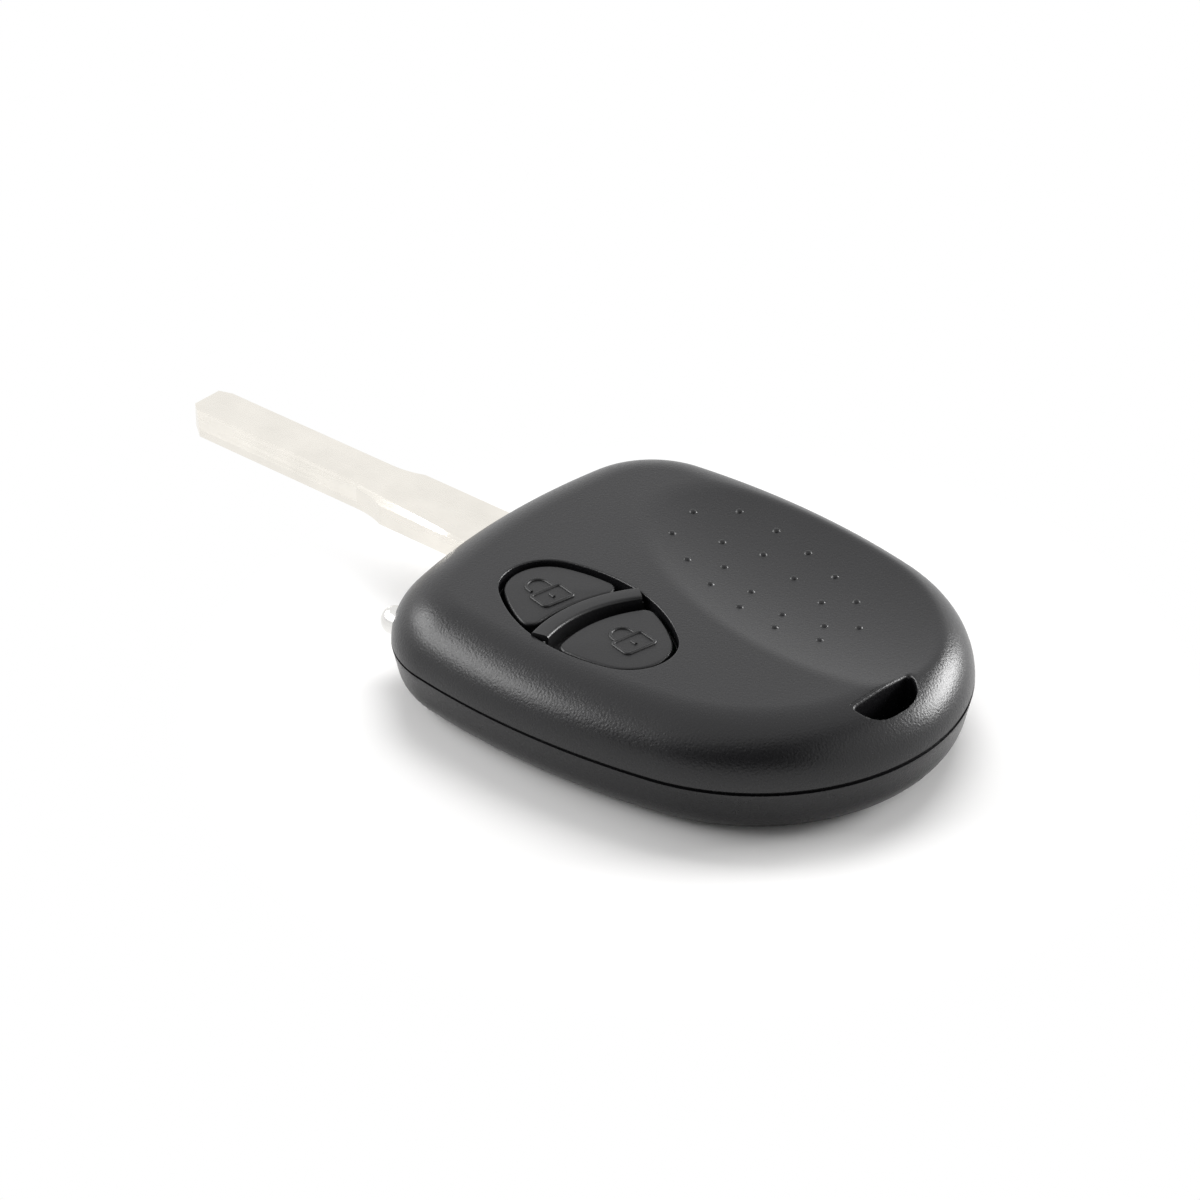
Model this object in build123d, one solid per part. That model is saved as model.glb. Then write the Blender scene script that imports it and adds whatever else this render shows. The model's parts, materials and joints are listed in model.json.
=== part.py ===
from build123d import *
import math
import os

# Car remote key: two-shell head, rubber keypad, uncut blade, sprung contact pin.
# X runs from the blade's tip to the ring end, Y to the thumb rest's side, Z up.
# The origin is under the middle of the whole key, on its underside. Lengths are in millimetres.

# Driving dimensions of the whole key
head_length = 54.6
head_width = 45.0
blade_reach = 39.3
upper_height = 6.0
lower_depth = 5.4
shell_wall = 1.6
roof_wall = 1.5
floor_wall = 1.5
rib_root = 0.4

# Head outline: a round ring end, long side arcs, round corners and a bowed front
widest_from_ring = 33.6
side_radius = 79.0
front_radius = 68.0
corner_radius = 10.4
corner_loss_share = 0.8

# Edge rounding of the two shells
upper_upright = 0.1
room_angles = (0, 40, 68, 90)
lower_draft_angle = 12.0
lower_edge_radius = 3.6
lower_angles = (12, 32, 52, 71, 90)

# Joint between the shells: a groove outside, a tongue inside
groove_depth = 0.3
groove_front_height = 0.16
groove_ring_height = 0.42
outer_skin = 0.9
tongue_height = 0.9
tongue_root = 0.8
tongue_gap = 0.06
rebate_over = 0.3

# Thumb rest: a shallow hollow, lying askew, with two rings of raised dots
rest_from_ring = 20.5
rest_turn = -12.5
rest_depth = 1.5
rest_from_near_side = 19.5
rest_from_far_side = 3.5
rest_half_length = 21.5
dot_foot_radius = 0.56
dot_tip_radius = 0.28
dot_height = 0.2
dot_sides = 6
dots_turn = -17.0
outer_dots = 13
outer_dots_forward = 5.3
outer_dots_aside_share = -0.01
outer_dots_length_share = 0.59
outer_dots_width_share = 0.52
outer_dots_end_share = 0.42
inner_dots = 8
inner_dots_forward = 4.0
inner_dots_aside_share = -0.073
inner_dots_length_share = 0.4
inner_dots_width_share = 0.227
inner_dots_end_share = 0.19

# Keyring slot: a straight front edge and a round back edge
slot_front_from_ring = 4.6
slot_back_from_ring = 2.1
slot_half_width = 3.9
slot_aside = -1.8
slot_turn = -4.0
slot_corner_radius = 0.6
slot_collar = 1.2

# Button pocket: an oval made of four arcs, lying askew
pocket_from_ring = 33.3
pocket_from_side = 12.7
pocket_turn = -11.6
pocket_half_length = 10.9
pocket_half_width = 6.3
pocket_end_radius = 4.7
pocket_flare = 0.35

# Two buttons and the bowed bar between them
button_gap = 0.35
button_top_below = 0.55
button_corner_radius = 1.3
button_edge_chamfer = 0.35
button_flange = 0.9
button_flange_thickness = 0.5
button_travel = 0.4
bar_width = 1.4
bar_bow_radius = 13.7
bar_from_middle = 1.0
bar_rise = 0.35
bar_edge_chamfer = 0.3
bar_front_gap = 0.75
bar_back_gap = 1.2

# Keypad web, which carries the bar and stands on the board
web_thickness = 0.7
web_margin = 2.0
web_gap = 0.05
web_clearance = 0.3
web_leg_width = 1.0
web_leg_inset = 0.65

# Blade: an uncut blank with milled runouts
shank_width = 6.9
blade_thickness = 2.6
blade_rise = 1.2
blank_width = 5.4
blank_length = 24.0
runout_radius = 10.0
top_face_inset = 0.65
land_height = 0.85
land_step = 0.2
shank_bevel = 0.4
shank_bevel_width = 1.2
tip_far_length = 1.5
tip_far_width = 0.5
tip_near_length = 1.9
tip_near_width = 1.4

# Tang: the blade's wide root inside the head
tang_length = 11.2
tang_shoulder = 3.4
tang_width = 9.6
tang_corner_radius = 1.0
tang_hole_radius = 1.3
tang_hole_from_front = 7.6
tang_side_gap = 0.08
tang_bed_margin = 0.6
tang_peg_gap = 0.08
tang_press_width = 5.0
tang_press_length = 4.4
tang_press_gap = 0.06

# Sprung contact pin and its sleeve, half in each shell
pin_from_side = 6.9
pin_radius = 1.45
pin_reach = 1.45
pin_travel = 1.0
pin_collar_radius = 2.0
pin_collar_length = 0.9
pin_tail_radius = 0.7
pin_tail_length = 2.0
pin_gap = 0.08
pin_wall = 2.2
sleeve_wall = 1.0
sleeve_gap = 0.12
spring_outer_radius = 1.32
spring_inner_radius = 0.98
spring_length = 3.4
spring_seat_gap = 0.04
clip_thickness = 0.3
clip_drop = 1.9
clip_rise = 1.2
clip_foot_length = 2.6
clip_seat_depth = 0.4

# Circuit board
board_lift = -0.1
board_thickness = 1.0
board_inset = 2.4
board_slot_gap = 0.5
board_tang_gap = 0.3
board_tang_end_gap = 0.8
board_sleeve_gap = 0.4

# Posts that hold the board, and the pins that close the head
far_posts = ((13.6, 7.3), (44.6, 8.1))
near_posts = ((13.6, 7.3), (41.0, 4.3))
post_radius = 2.0
post_pin_radius = 1.0
post_pin_depth = 2.4
post_bore_gap = 0.06
post_bore_over = 0.3
post_board_gap = 0.12

# Push switches on the board
switch_side = 5.2
switch_base_height = 1.1
switch_cover_thickness = 0.2
switch_cover_drop = 0.7
switch_cover_width = 3.6
switch_gap = 0.03
plunger_radius = 1.3
plunger_rise = 0.9
plunger_flange = 0.35
plunger_flange_thickness = 0.3
plunger_gap = 0.06
press_gap = 0.05
well_over = 0.05
terminal_width = 0.7
terminal_reach = 0.9
terminal_thickness = 0.2
unlock_from_middle = 6.95
lock_from_middle = 6.1

# Coin cell under the board
cell_from_ring = 21.2
cell_radius = 10.0
cell_height = 3.2
cell_skin = 0.25
cell_cap_radius = 8.6
cell_cap_rise = 0.35
cell_lip = 0.5
cell_gap = 0.03
cup_gap = 0.2
cup_wall = 1.0
cup_height = 2.0
cup_opening_angle = 56.0

# Cell contacts
contact_thickness = 0.2
contact_gap = 0.03
side_contact_width = 5.0
side_contact_height = 2.6
side_contact_foot = 2.2
centre_contact_width = 2.4
centre_contact_length = 11.5
centre_contact_foot = 2.4

# Leaf between the tang and the board
leaf_width = 3.0
leaf_height = 1.3
leaf_foot = 3.0

# Parts on the board
chip_from_ring = 17.0
chip_from_side = 14.9
chip_length = 8.6
chip_width = 4.0
chip_height = 1.3
chip_lead_count = 6
chip_lead_pitch = 1.27
chip_lead_width = 0.42
chip_lead_reach = 0.8
chip_lead_thickness = 0.2
resonator_from_ring = 20.6
resonator_from_side = 6.3
resonator_radius = 1.7
resonator_half_span = 1.6
resonator_height = 1.3
crystal_from_ring = 28.0
crystal_aside = -2.4
crystal_length = 5.0
crystal_width = 3.2
crystal_height = 0.8
crystal_lid_inset = 0.35
crystal_lid_height = 0.2
loop_from_ring = 27.5
loop_from_side = 10.9
loop_turn = -7.0
loop_length = 22.0
loop_width = 7.0
loop_wire = 0.7
loop_corner_radius = 2.4
loop_lift = 0.5
loop_foot = 1.0
small_length = 1.6
small_width = 0.9
small_height = 0.5
small_part_shares = (
    (0.19, 0.22), (0.19, 0.34), (0.19, -0.13), (0.19, 0.02), (0.66, 0.04), (0.66, 0.14), (0.66, 0.25),
    (0.4, 0.11), (0.45, 0.11), (0.62, -0.7), (0.67, -0.7), (0.23, 0.47),
)

cut_over = 1.0

# Places worked out from the sizes above
total_length = head_length + blade_reach
x_ring = total_length / 2
x_front = x_ring - head_length
x_tip = x_ring - total_length
half_width = head_width / 2
pocket_aside = pocket_from_side - half_width
pin_aside = pin_from_side - half_width
chip_aside = chip_from_side - half_width
resonator_aside = resonator_from_side - half_width
loop_aside = half_width - loop_from_side
rest_aside = (rest_from_near_side - rest_from_far_side) / 2
rest_half_width = half_width - (rest_from_near_side + rest_from_far_side) / 2
z_split = lower_depth
z_top = z_split + upper_height
upper_edge_radius = upper_height - upper_upright
z_board = z_split + board_lift
z_board_top = z_board + board_thickness
z_blade = z_split + blade_rise
z_blade_low = z_blade - blade_thickness / 2
z_blade_top = z_blade + blade_thickness / 2
z_ceiling = z_top - roof_wall
z_web_top = z_ceiling - web_gap
z_web = z_web_top - web_thickness
z_button = z_top - button_top_below
z_cover_top = z_board_top + switch_base_height + switch_cover_thickness
z_plunger_top = z_cover_top + plunger_rise
z_cell = floor_wall
z_cell_top = z_cell + cell_height
side_rise = side_radius - half_width
rear_radius = (side_radius**2 - side_rise**2 - widest_from_ring**2) / (2 * (side_radius - widest_from_ring))
side_centre = Vector(x_ring - widest_from_ring, side_rise)
rear_centre = Vector(x_ring - rear_radius, 0)
front_centre = Vector(x_front + front_radius, 0)
x_pin_front = x_front + front_radius - math.sqrt(front_radius**2 - pin_aside**2)
x_collar = x_pin_front + pin_wall
x_spring = x_collar + pin_collar_length + spring_seat_gap
x_clip = x_spring + spring_length + spring_seat_gap
rest_cross_radius = (rest_half_width**2 + rest_depth**2) / (2 * rest_depth)
rest_long_radius = (rest_half_length**2 + rest_depth**2) / (2 * rest_depth)
UPWARD = (Align.CENTER, Align.CENTER, Align.MIN)
DOWNWARD = (Align.CENTER, Align.CENTER, Align.MAX)


def place(from_ring, aside, height=0):
    """A place in the head, by its distance from the ring end."""
    return Vector(x_ring - from_ring, aside, height)


def flip(point):
    return Vector(point.X, -point.Y)


def arc(centre, start, end):
    """The short arc about a centre."""
    middle = (start + end) / 2 - centre
    return ThreePointArc(start, centre + middle.normalized() * (start - centre).length, end)


def meet(a, a_radius, b, b_radius):
    """Where two circles cross, on the right of the way from a to b."""
    gap = (b - a).length
    way = (b - a).normalized()
    along = (a_radius**2 - b_radius**2 + gap**2) / (2 * gap)
    aside = math.sqrt(a_radius**2 - along**2)
    return a + way * along + Vector(way.Y, -way.X) * aside


def outline(inset=0):
    """The head's plan outline as a face, moved in by inset."""
    corner = corner_radius - inset * corner_loss_share
    side = side_radius - inset
    front = front_radius - inset
    corner_centre = meet(side_centre, side - corner, front_centre, front - corner)
    rear_end = side_centre + (rear_centre - side_centre).normalized() * side
    side_end = side_centre + (corner_centre - side_centre).normalized() * side
    front_end = front_centre + (corner_centre - front_centre).normalized() * front
    apex = Vector(x_ring - inset, 0)
    edges = [
        ThreePointArc(rear_end, apex, flip(rear_end)),
        arc(flip(side_centre), flip(rear_end), flip(side_end)),
        arc(flip(corner_centre), flip(side_end), flip(front_end)),
        arc(front_centre, flip(front_end), front_end),
        arc(corner_centre, front_end, side_end),
        arc(side_centre, side_end, rear_end),
    ]
    return Face(Wire(edges))


def prism(face, bottom, top):
    """A plan face between two heights."""
    return extrude(Pos(0, 0, bottom) * face, top - bottom, dir=(0, 0, 1))


def block(x_low, x_high, y_low, y_high, z_low, z_high):
    """A box between its limits."""
    middle = Vector(x_low + x_high, y_low + y_high, z_low + z_high) / 2
    return Pos(middle) * Box(x_high - x_low, y_high - y_low, z_high - z_low)


def rod(centre, radius, height, align=UPWARD):
    """An upright cylinder standing on a place."""
    return Pos(centre) * Cylinder(radius, height, align=align)


def rod_x(x_low, x_high, radius):
    """A cylinder along the contact pin's axis."""
    return Pos(x_low, pin_aside, z_split) * Rot(0, 90, 0) * Cylinder(radius, x_high - x_low, align=UPWARD)


def upper_block():
    """The upper shell's solid form, rounded from the roof to the split."""
    solid = prism(outline(), z_split, z_top)
    return fillet(solid.faces().sort_by(Axis.Z)[-1].edges(), upper_edge_radius)


def lower_block(inset, depth):
    """A block under the split with the lower shell's leaning walls."""
    top = Pos(0, 0, z_split) * outline(inset)
    bottom = Pos(0, 0, z_split - depth) * outline(inset + depth * math.tan(math.radians(lower_draft_angle)))
    return loft([bottom, top], ruled=True)


def lower_form():
    """The lower shell's solid form: leaning walls, then a rounding under them."""
    lean = math.radians(lower_draft_angle)
    wall = lower_depth - lower_edge_radius * (1 - math.sin(lean))
    middle = wall * math.tan(lean) + lower_edge_radius * math.cos(lean)
    sections = [Pos(0, 0, z_split) * outline()]
    for angle in lower_angles:
        turn = math.radians(angle)
        height = z_split - lower_depth + lower_edge_radius * (1 - math.sin(turn))
        sections.append(Pos(0, 0, height) * outline(middle - lower_edge_radius * math.cos(turn)))
    return loft(sections, ruled=True)


def bottom_edges(solid):
    return solid.faces().sort_by(Axis.Z)[0].edges()


def rest_form(grow=0):
    """The thumb rest's cutter: a great ring that dips into the roof, lying askew."""
    ring = Torus(rest_long_radius - rest_cross_radius, rest_cross_radius + grow)
    middle = place(rest_from_ring, rest_aside, z_top - rest_depth + rest_long_radius)
    return Pos(middle) * Rot(0, 0, rest_turn) * Rot(90, 0, 0) * ring


def rest_height(spot):
    """Height of the thumb rest's floor at a place."""
    local = (spot - place(rest_from_ring, rest_aside)).rotate(Axis.Z, -rest_turn)
    radius = rest_long_radius - rest_cross_radius + math.sqrt(rest_cross_radius**2 - local.Y**2)
    return z_top - rest_depth + rest_long_radius - math.sqrt(radius**2 - local.X**2)


def dot_ring(count, first_share, forward, aside_share, oval_shares):
    """Raised dots, evenly spread along an oval on the thumb rest."""
    length_share, width_share, end_share = oval_shares
    middle = place(rest_from_ring + forward, rest_aside + aside_share * rest_half_width)
    line = oval_face(
        rest_half_length * length_share, rest_half_width * width_share, rest_half_width * end_share
    ).outer_wire()
    dots = []
    for step in range(count):
        spot = line.position_at((step + first_share) / count).rotate(Axis.Z, dots_turn) + middle
        height = rest_height(spot)
        foot = Pos(spot.X, spot.Y, height - dot_height) * RegularPolygon(dot_foot_radius, dot_sides)
        tip = Pos(spot.X, spot.Y, height + dot_height) * RegularPolygon(dot_tip_radius, dot_sides)
        dots.append(loft([foot, tip], ruled=True))
    return dots


def slot_face(grow=0):
    """The keyring slot in plan: a straight front edge, a round back edge."""
    length = slot_front_from_ring - slot_back_from_ring + 2 * grow
    half = slot_half_width + grow
    bow = ThreePointArc((0, -half), (length, 0), (0, half))
    face = Face(Wire([bow, Line((0, half), (0, -half))]))
    face = fillet(face.vertices(), slot_corner_radius + grow / 2)
    return Pos(place(slot_front_from_ring + grow, slot_aside)) * Rot(0, 0, slot_turn) * face


def pocket_frame():
    return Pos(place(pocket_from_ring, pocket_aside)) * Rot(0, 0, pocket_turn)


def oval_face(half_length, half_width, end_radius):
    """An oval of four arcs about its own middle."""
    reach = half_length - end_radius
    side = (reach**2 + half_width**2 - end_radius**2) / (2 * (half_width - end_radius))
    low = Vector(0, side - half_width)
    low_right = low + (Vector(reach, 0) - low).normalized() * side
    low_left = low + (Vector(-reach, 0) - low).normalized() * side
    edges = [
        ThreePointArc(low_left, (0, -half_width), low_right),
        ThreePointArc(low_right, (half_length, 0), flip(low_right)),
        ThreePointArc(flip(low_right), (0, half_width), flip(low_left)),
        ThreePointArc(flip(low_left), (-half_length, 0), low_left),
    ]
    return Face(Wire(edges))


def pocket_face(grow=0):
    """The pocket's oval about its own middle, grown by the same amount all round."""
    return oval_face(pocket_half_length + grow, pocket_half_width + grow, pocket_end_radius + grow)


def bow_centre():
    return Pos(bar_bow_radius - bar_from_middle, 0)


def front_button_face(grow=0):
    """The unlock button's outline about the pocket's middle."""
    reach = bar_bow_radius + bar_width / 2 + bar_front_gap - grow
    face = pocket_face(grow - button_gap) - bow_centre() * Circle(reach)
    return fillet(face.vertices().sort_by(Axis.X)[-2:], button_corner_radius + grow)


def back_button_face(grow=0):
    """The lock button's outline about the pocket's middle."""
    reach = bar_bow_radius - bar_width / 2 - bar_back_gap + grow
    face = pocket_face(grow - button_gap) & bow_centre() * Circle(reach)
    return fillet(face.vertices().sort_by(Axis.X)[:2], button_corner_radius + grow)


def bar_face():
    """The bowed strip between the two buttons."""
    ring = Circle(bar_bow_radius + bar_width / 2) - Circle(bar_bow_radius - bar_width / 2)
    strip = bow_centre() * ring
    return strip & pocket_face(-button_gap) & Pos(-pocket_half_length / 2, 0) * Rectangle(
        pocket_half_length * 2, pocket_half_width * 2
    )


def tongue(bottom, top, gap):
    """The ring inside the outer skin, across the split."""
    return prism(outline(outer_skin + gap) - outline(shell_wall), bottom, top)


def blade_way():
    """The way through the front walls for the blade."""
    half = shank_width / 2 + tang_side_gap
    top = z_blade_top + tang_side_gap
    return block(x_front - cut_over, x_front + tang_shoulder, -half, half, z_blade_low, top)


def tang_room():
    """The room for the tang behind the front wall."""
    half = tang_width / 2 + tang_side_gap
    start = x_front + tang_shoulder - tang_side_gap
    end = x_front + tang_length + tang_side_gap
    return block(start, end, -half, half, z_blade_low, z_blade_top + tang_side_gap)


def sleeve():
    """The contact pin's sleeve, before it is bored and split."""
    reach = pin_collar_radius + sleeve_gap + sleeve_wall
    return block(
        x_pin_front, x_clip + clip_thickness, pin_aside - reach, pin_aside + reach,
        z_split - reach, z_split + reach,
    )


def sleeve_bores():
    """The pin's bore, the wider spring room and the clip's seat."""
    front = rod_x(x_front - cut_over, x_clip, pin_radius + pin_gap)
    room = rod_x(x_collar, x_clip + cut_over, pin_collar_radius + sleeve_gap)
    half = pin_collar_radius + sleeve_gap + clip_seat_depth
    seat = block(
        x_clip, x_clip + clip_thickness + cut_over, pin_aside - half, pin_aside + half,
        z_split - clip_drop, z_split + half + sleeve_wall + cut_over,
    )
    return front + room + seat


def posts(radius, bottom, top):
    """Upright cylinders at the post places."""
    spots = [place(from_ring, half_width - from_side, bottom) for from_ring, from_side in far_posts]
    spots += [place(from_ring, from_side - half_width, bottom) for from_ring, from_side in near_posts]
    return [rod(spot, radius, top - bottom) for spot in spots]


def groove():
    """The shadow groove over the split, higher towards the ring end."""
    front = x_front - cut_over
    ring = x_ring + cut_over
    wedge = Polyline(
        (front, z_split - cut_over), (ring, z_split - cut_over), (ring, z_split + groove_ring_height),
        (front, z_split + groove_front_height), close=True,
    )
    band = extrude(Plane.XZ * Face(Wire(wedge)), half_width + cut_over, both=True)
    return band - prism(outline(groove_depth), z_split - cut_over, z_top)


def upper_room(gap=0):
    """The space inside the upper shell."""
    inset = shell_wall + gap
    height = upper_height - roof_wall - gap
    sections = []
    for angle in room_angles:
        turn = math.radians(angle)
        reach = inset + (upper_edge_radius - inset) * (1 - math.cos(turn))
        sections.append(Pos(0, 0, z_split + height * math.sin(turn)) * outline(reach))
    return loft(sections, ruled=True) - rest_form(roof_wall + gap)


def make_upper_shell():
    solid = upper_block() - rest_form()
    inside = upper_room(-rib_root)
    collar = prism(slot_face(slot_collar), z_split, z_top)
    press = block(
        x_front + shell_wall, x_front + shell_wall + tang_press_length, -tang_press_width / 2,
        tang_press_width / 2, z_blade_top + tang_press_gap, z_top,
    )
    shell = solid - upper_room() + (collar & inside) + (press & inside) + (sleeve() & inside)
    rebate = outline(outer_skin) - outline(shell_wall + rebate_over)
    shell -= prism(rebate, z_split - cut_over, z_split + tongue_height + tongue_gap)
    shell -= blade_way()
    shell -= tang_room()
    shell -= sleeve_bores()
    shell -= groove()
    shell -= prism(slot_face(), z_split - cut_over, z_top + cut_over)
    shell -= pocket_frame() * prism(pocket_face(), z_split, z_top + cut_over)
    rim = [Pos(0, 0, z_top - pocket_flare) * pocket_face(), Pos(0, 0, z_top) * pocket_face(pocket_flare)]
    shell -= pocket_frame() * loft(rim, ruled=True)
    shell += [pin & inside for pin in posts(post_pin_radius, z_split, z_top)]
    shell += posts(post_pin_radius, z_board - post_pin_depth, z_split)
    outer_shares = (outer_dots_length_share, outer_dots_width_share, outer_dots_end_share)
    inner_shares = (inner_dots_length_share, inner_dots_width_share, inner_dots_end_share)
    shell += dot_ring(outer_dots, 1 / 2, outer_dots_forward, outer_dots_aside_share, outer_shares)
    shell += dot_ring(inner_dots, 0, inner_dots_forward, inner_dots_aside_share, inner_shares)
    return shell


def make_lower_shell():
    solid = lower_form()
    room = lower_block(shell_wall, lower_depth - floor_wall)
    room = chamfer(bottom_edges(room), lower_edge_radius - shell_wall)
    collar = prism(slot_face(slot_collar), 0, z_split)
    half = tang_width / 2 + tang_bed_margin
    bed = block(x_front + shell_wall, x_front + tang_length, -half, half, 0, z_split)
    inside = lower_block(shell_wall - rib_root, lower_depth - floor_wall + rib_root)
    shell = solid - room + (collar & inside) + (bed & inside) + (sleeve() & inside)
    shell += [post & inside for post in posts(post_radius, 0, z_board)]
    shell += cell_cup()
    over_sleeve = sleeve() - prism(outline(-cut_over), 0, z_split)
    shell += tongue(z_split - tongue_root, z_split + tongue_height, tongue_gap) - over_sleeve
    shell -= blade_way()
    shell -= tang_room()
    shell -= sleeve_bores()
    shell -= posts(post_pin_radius + post_bore_gap, z_board - post_pin_depth - post_bore_over, z_split)
    shell -= prism(slot_face(), -cut_over, z_split + cut_over)
    peg_foot = Vector(x_front + tang_hole_from_front, 0, z_blade_low)
    return shell + rod(peg_foot, tang_hole_radius - tang_peg_gap, blade_thickness)


def cell_cup():
    """The broken ring that holds the coin cell on the floor."""
    inner = cell_radius + cup_gap
    reach = inner + cup_wall
    rise = reach * math.tan(math.radians(cup_opening_angle / 2))
    gap = Face(Wire(Polyline((0, 0), (reach, -rise), (reach, rise), close=True)))
    gap = gap + Pos(reach, 0) * Rectangle(reach, 2 * rise, align=(Align.MIN, Align.CENTER))
    ring = Circle(reach) - Circle(inner) - gap - Rot(0, 0, 180) * gap
    return Pos(place(cell_from_ring, 0)) * prism(ring, floor_wall / 2, floor_wall + cup_height)


def make_key_blade():
    """Uncut blank, shank and tang in one flat piece, then its milled bevels."""
    shank = shank_width / 2
    blank = blank_width / 2
    x_blank = x_tip + blank_length
    x_shank = x_blank + math.sqrt(runout_radius**2 - (runout_radius - shank + blank) ** 2)
    x_wide = x_front + tang_shoulder
    x_end = x_front + tang_length
    sag = math.sqrt(runout_radius**2 - ((x_shank - x_blank) / 2) ** 2)
    far_mid = ((x_blank + x_shank) / 2, blank + runout_radius - sag)
    near_mid = ((x_blank + x_shank) / 2, -blank - runout_radius + sag)
    near = [
        Line((x_tip, -blank + tip_near_width), (x_tip + tip_near_length, -blank)),
        Line((x_tip + tip_near_length, -blank), (x_blank, -blank)),
        ThreePointArc((x_blank, -blank), near_mid, (x_shank, -shank)),
        Line((x_shank, -shank), (x_wide, -shank)),
        Line((x_wide, -shank), (x_wide, -tang_width / 2)),
        Line((x_wide, -tang_width / 2), (x_end, -tang_width / 2)),
        Line((x_end, -tang_width / 2), (x_end, tang_width / 2)),
    ]
    far = [
        Line((x_end, tang_width / 2), (x_wide, tang_width / 2)),
        Line((x_wide, tang_width / 2), (x_wide, shank)),
        Line((x_wide, shank), (x_shank, shank)),
        ThreePointArc((x_shank, shank), far_mid, (x_blank, blank)),
        Line((x_blank, blank), (x_tip + tip_far_length, blank)),
        Line((x_tip + tip_far_length, blank), (x_tip, blank - tip_far_width)),
        Line((x_tip, blank - tip_far_width), (x_tip, -blank + tip_near_width)),
    ]
    face = Face(Wire(near + far))
    face = fillet(face.vertices().sort_by(Axis.X)[-2:], tang_corner_radius)
    blade = prism(face, z_blade_low, z_blade_top)
    hole_foot = Vector(x_front + tang_hole_from_front, 0, z_blade_low - cut_over)
    blade -= rod(hole_foot, tang_hole_radius, blade_thickness + 2 * cut_over)
    bevel = blank_bevel(x_blank) + shank_wedge(x_blank)
    turned = Pos(0, 0, z_blade) * Rot(180, 0, 0) * Pos(0, 0, -z_blade) * bevel
    return blade - bevel - turned


def blank_bevel(x_blank):
    """The slanted cut along the blank's near upper edge."""
    blank = blank_width / 2
    wedge = Polyline(
        (-blank + top_face_inset, z_blade_top), (-blank, z_blade_low + land_height),
        (-blank - cut_over, z_blade_low + land_height), (-blank - cut_over, z_blade_top + cut_over),
        (-blank + top_face_inset, z_blade_top + cut_over), close=True,
    )
    face = Plane.YZ * Face(Wire(wedge))
    return extrude(Pos(x_tip - cut_over, 0, 0) * face, x_blank - x_tip + cut_over, dir=(1, 0, 0))


def shank_wedge(x_blank):
    """The shallow bevel on the shank, running out at the head."""
    shank = shank_width / 2
    ends = ((x_blank, shank_bevel_width), (x_front, 0))
    sections = []
    for x, width in ends:
        points = Polyline(
            (-shank + width, z_blade_top), (-shank, z_blade_top - shank_bevel),
            (-shank - cut_over, z_blade_top - shank_bevel), (-shank - cut_over, z_blade_top + cut_over),
            (-shank + width, z_blade_top + cut_over), close=True,
        )
        sections.append(Pos(x, 0, 0) * (Plane.YZ * Face(Wire(points))))
    return loft(sections, ruled=True)


def make_keypad_web():
    frame = pocket_frame()
    web = frame * prism(pocket_face(web_margin), z_web, z_web_top) & upper_room(web_gap)
    for face in (front_button_face(web_clearance), back_button_face(web_clearance)):
        web -= frame * prism(face, z_web - cut_over, z_web_top + cut_over)
    bar = prism(bar_face(), z_web, z_button + bar_rise)
    bar = chamfer(bar.faces().sort_by(Axis.Z)[-1].edges(), bar_edge_chamfer)
    reach = pocket_half_length + web_margin - web_leg_inset
    leg = Box(web_leg_width, web_leg_width, z_web - z_board_top, align=UPWARD)
    legs = [frame * Pos(x, 0, z_board_top) * leg for x in (-reach, -bar_from_middle, reach)]
    return web + frame * bar + legs


def make_button(face, flange):
    body = prism(face, z_plunger_top + press_gap, z_button)
    body = chamfer(body.faces().sort_by(Axis.Z)[-1].edges(), button_edge_chamfer)
    skirt = prism(flange, z_plunger_top + press_gap, z_web - web_gap)
    return pocket_frame() * (body + skirt)


def switch_frame(along):
    """A switch's place on the board, along the pocket's long axis."""
    return pocket_frame() * Pos(along, 0, z_board_top)


def make_switch_base():
    """Switch body with its round well and four terminals."""
    base = Box(switch_side, switch_side, switch_base_height, align=UPWARD)
    well_depth = plunger_flange_thickness + button_travel + press_gap + well_over
    well = plunger_radius + plunger_flange + plunger_gap
    base -= rod(Vector(0, 0, switch_base_height - well_depth), well, well_depth + cut_over)
    reach = switch_side / 2 + terminal_reach
    spread = switch_side / 2 - terminal_width
    for y in (-spread, spread):
        base += Pos(0, y, 0) * Box(2 * reach, terminal_width, terminal_thickness, align=UPWARD)
    return base


def make_switch_cover():
    """Pressed steel cover with two turned-down sides."""
    roof = Box(switch_cover_width, switch_side, switch_cover_thickness, align=UPWARD)
    cover = Pos(0, 0, switch_base_height) * roof
    for side in (-1, 1):
        y = side * (switch_side / 2 + switch_gap + switch_cover_thickness / 2)
        drop = Pos(0, y, switch_base_height + switch_cover_thickness) * Box(
            switch_cover_width, switch_cover_thickness + 2 * switch_gap, switch_cover_drop, align=DOWNWARD
        )
        cover += drop
    hole_foot = Vector(0, 0, switch_base_height - cut_over)
    return cover - rod(hole_foot, plunger_radius + plunger_gap, 2 * cut_over)


def make_plunger():
    """Plunger with the flange that keeps it under the cover."""
    low = switch_base_height - switch_gap - plunger_flange_thickness
    flange = rod(Vector(0, 0, low), plunger_radius + plunger_flange, plunger_flange_thickness)
    top = switch_base_height + switch_cover_thickness + plunger_rise
    return flange + rod(Vector(0, 0, low), plunger_radius, top - low)


def make_board():
    board = prism(outline(board_inset) - slot_face(slot_collar + board_slot_gap), z_board, z_board_top)
    half = tang_width / 2 + tang_bed_margin + board_tang_gap
    board -= block(
        x_front - cut_over, x_front + tang_length + board_tang_end_gap, -half, half,
        z_board - cut_over, z_board_top + cut_over,
    )
    reach = pin_collar_radius + sleeve_gap + sleeve_wall + board_sleeve_gap
    board -= block(
        x_front - cut_over, x_clip + clip_thickness + board_sleeve_gap, pin_aside - reach - post_radius,
        pin_aside + reach, z_board - cut_over, z_board_top + cut_over,
    )
    return board - posts(post_pin_radius + post_board_gap, z_board - cut_over, z_board_top + cut_over)


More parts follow.
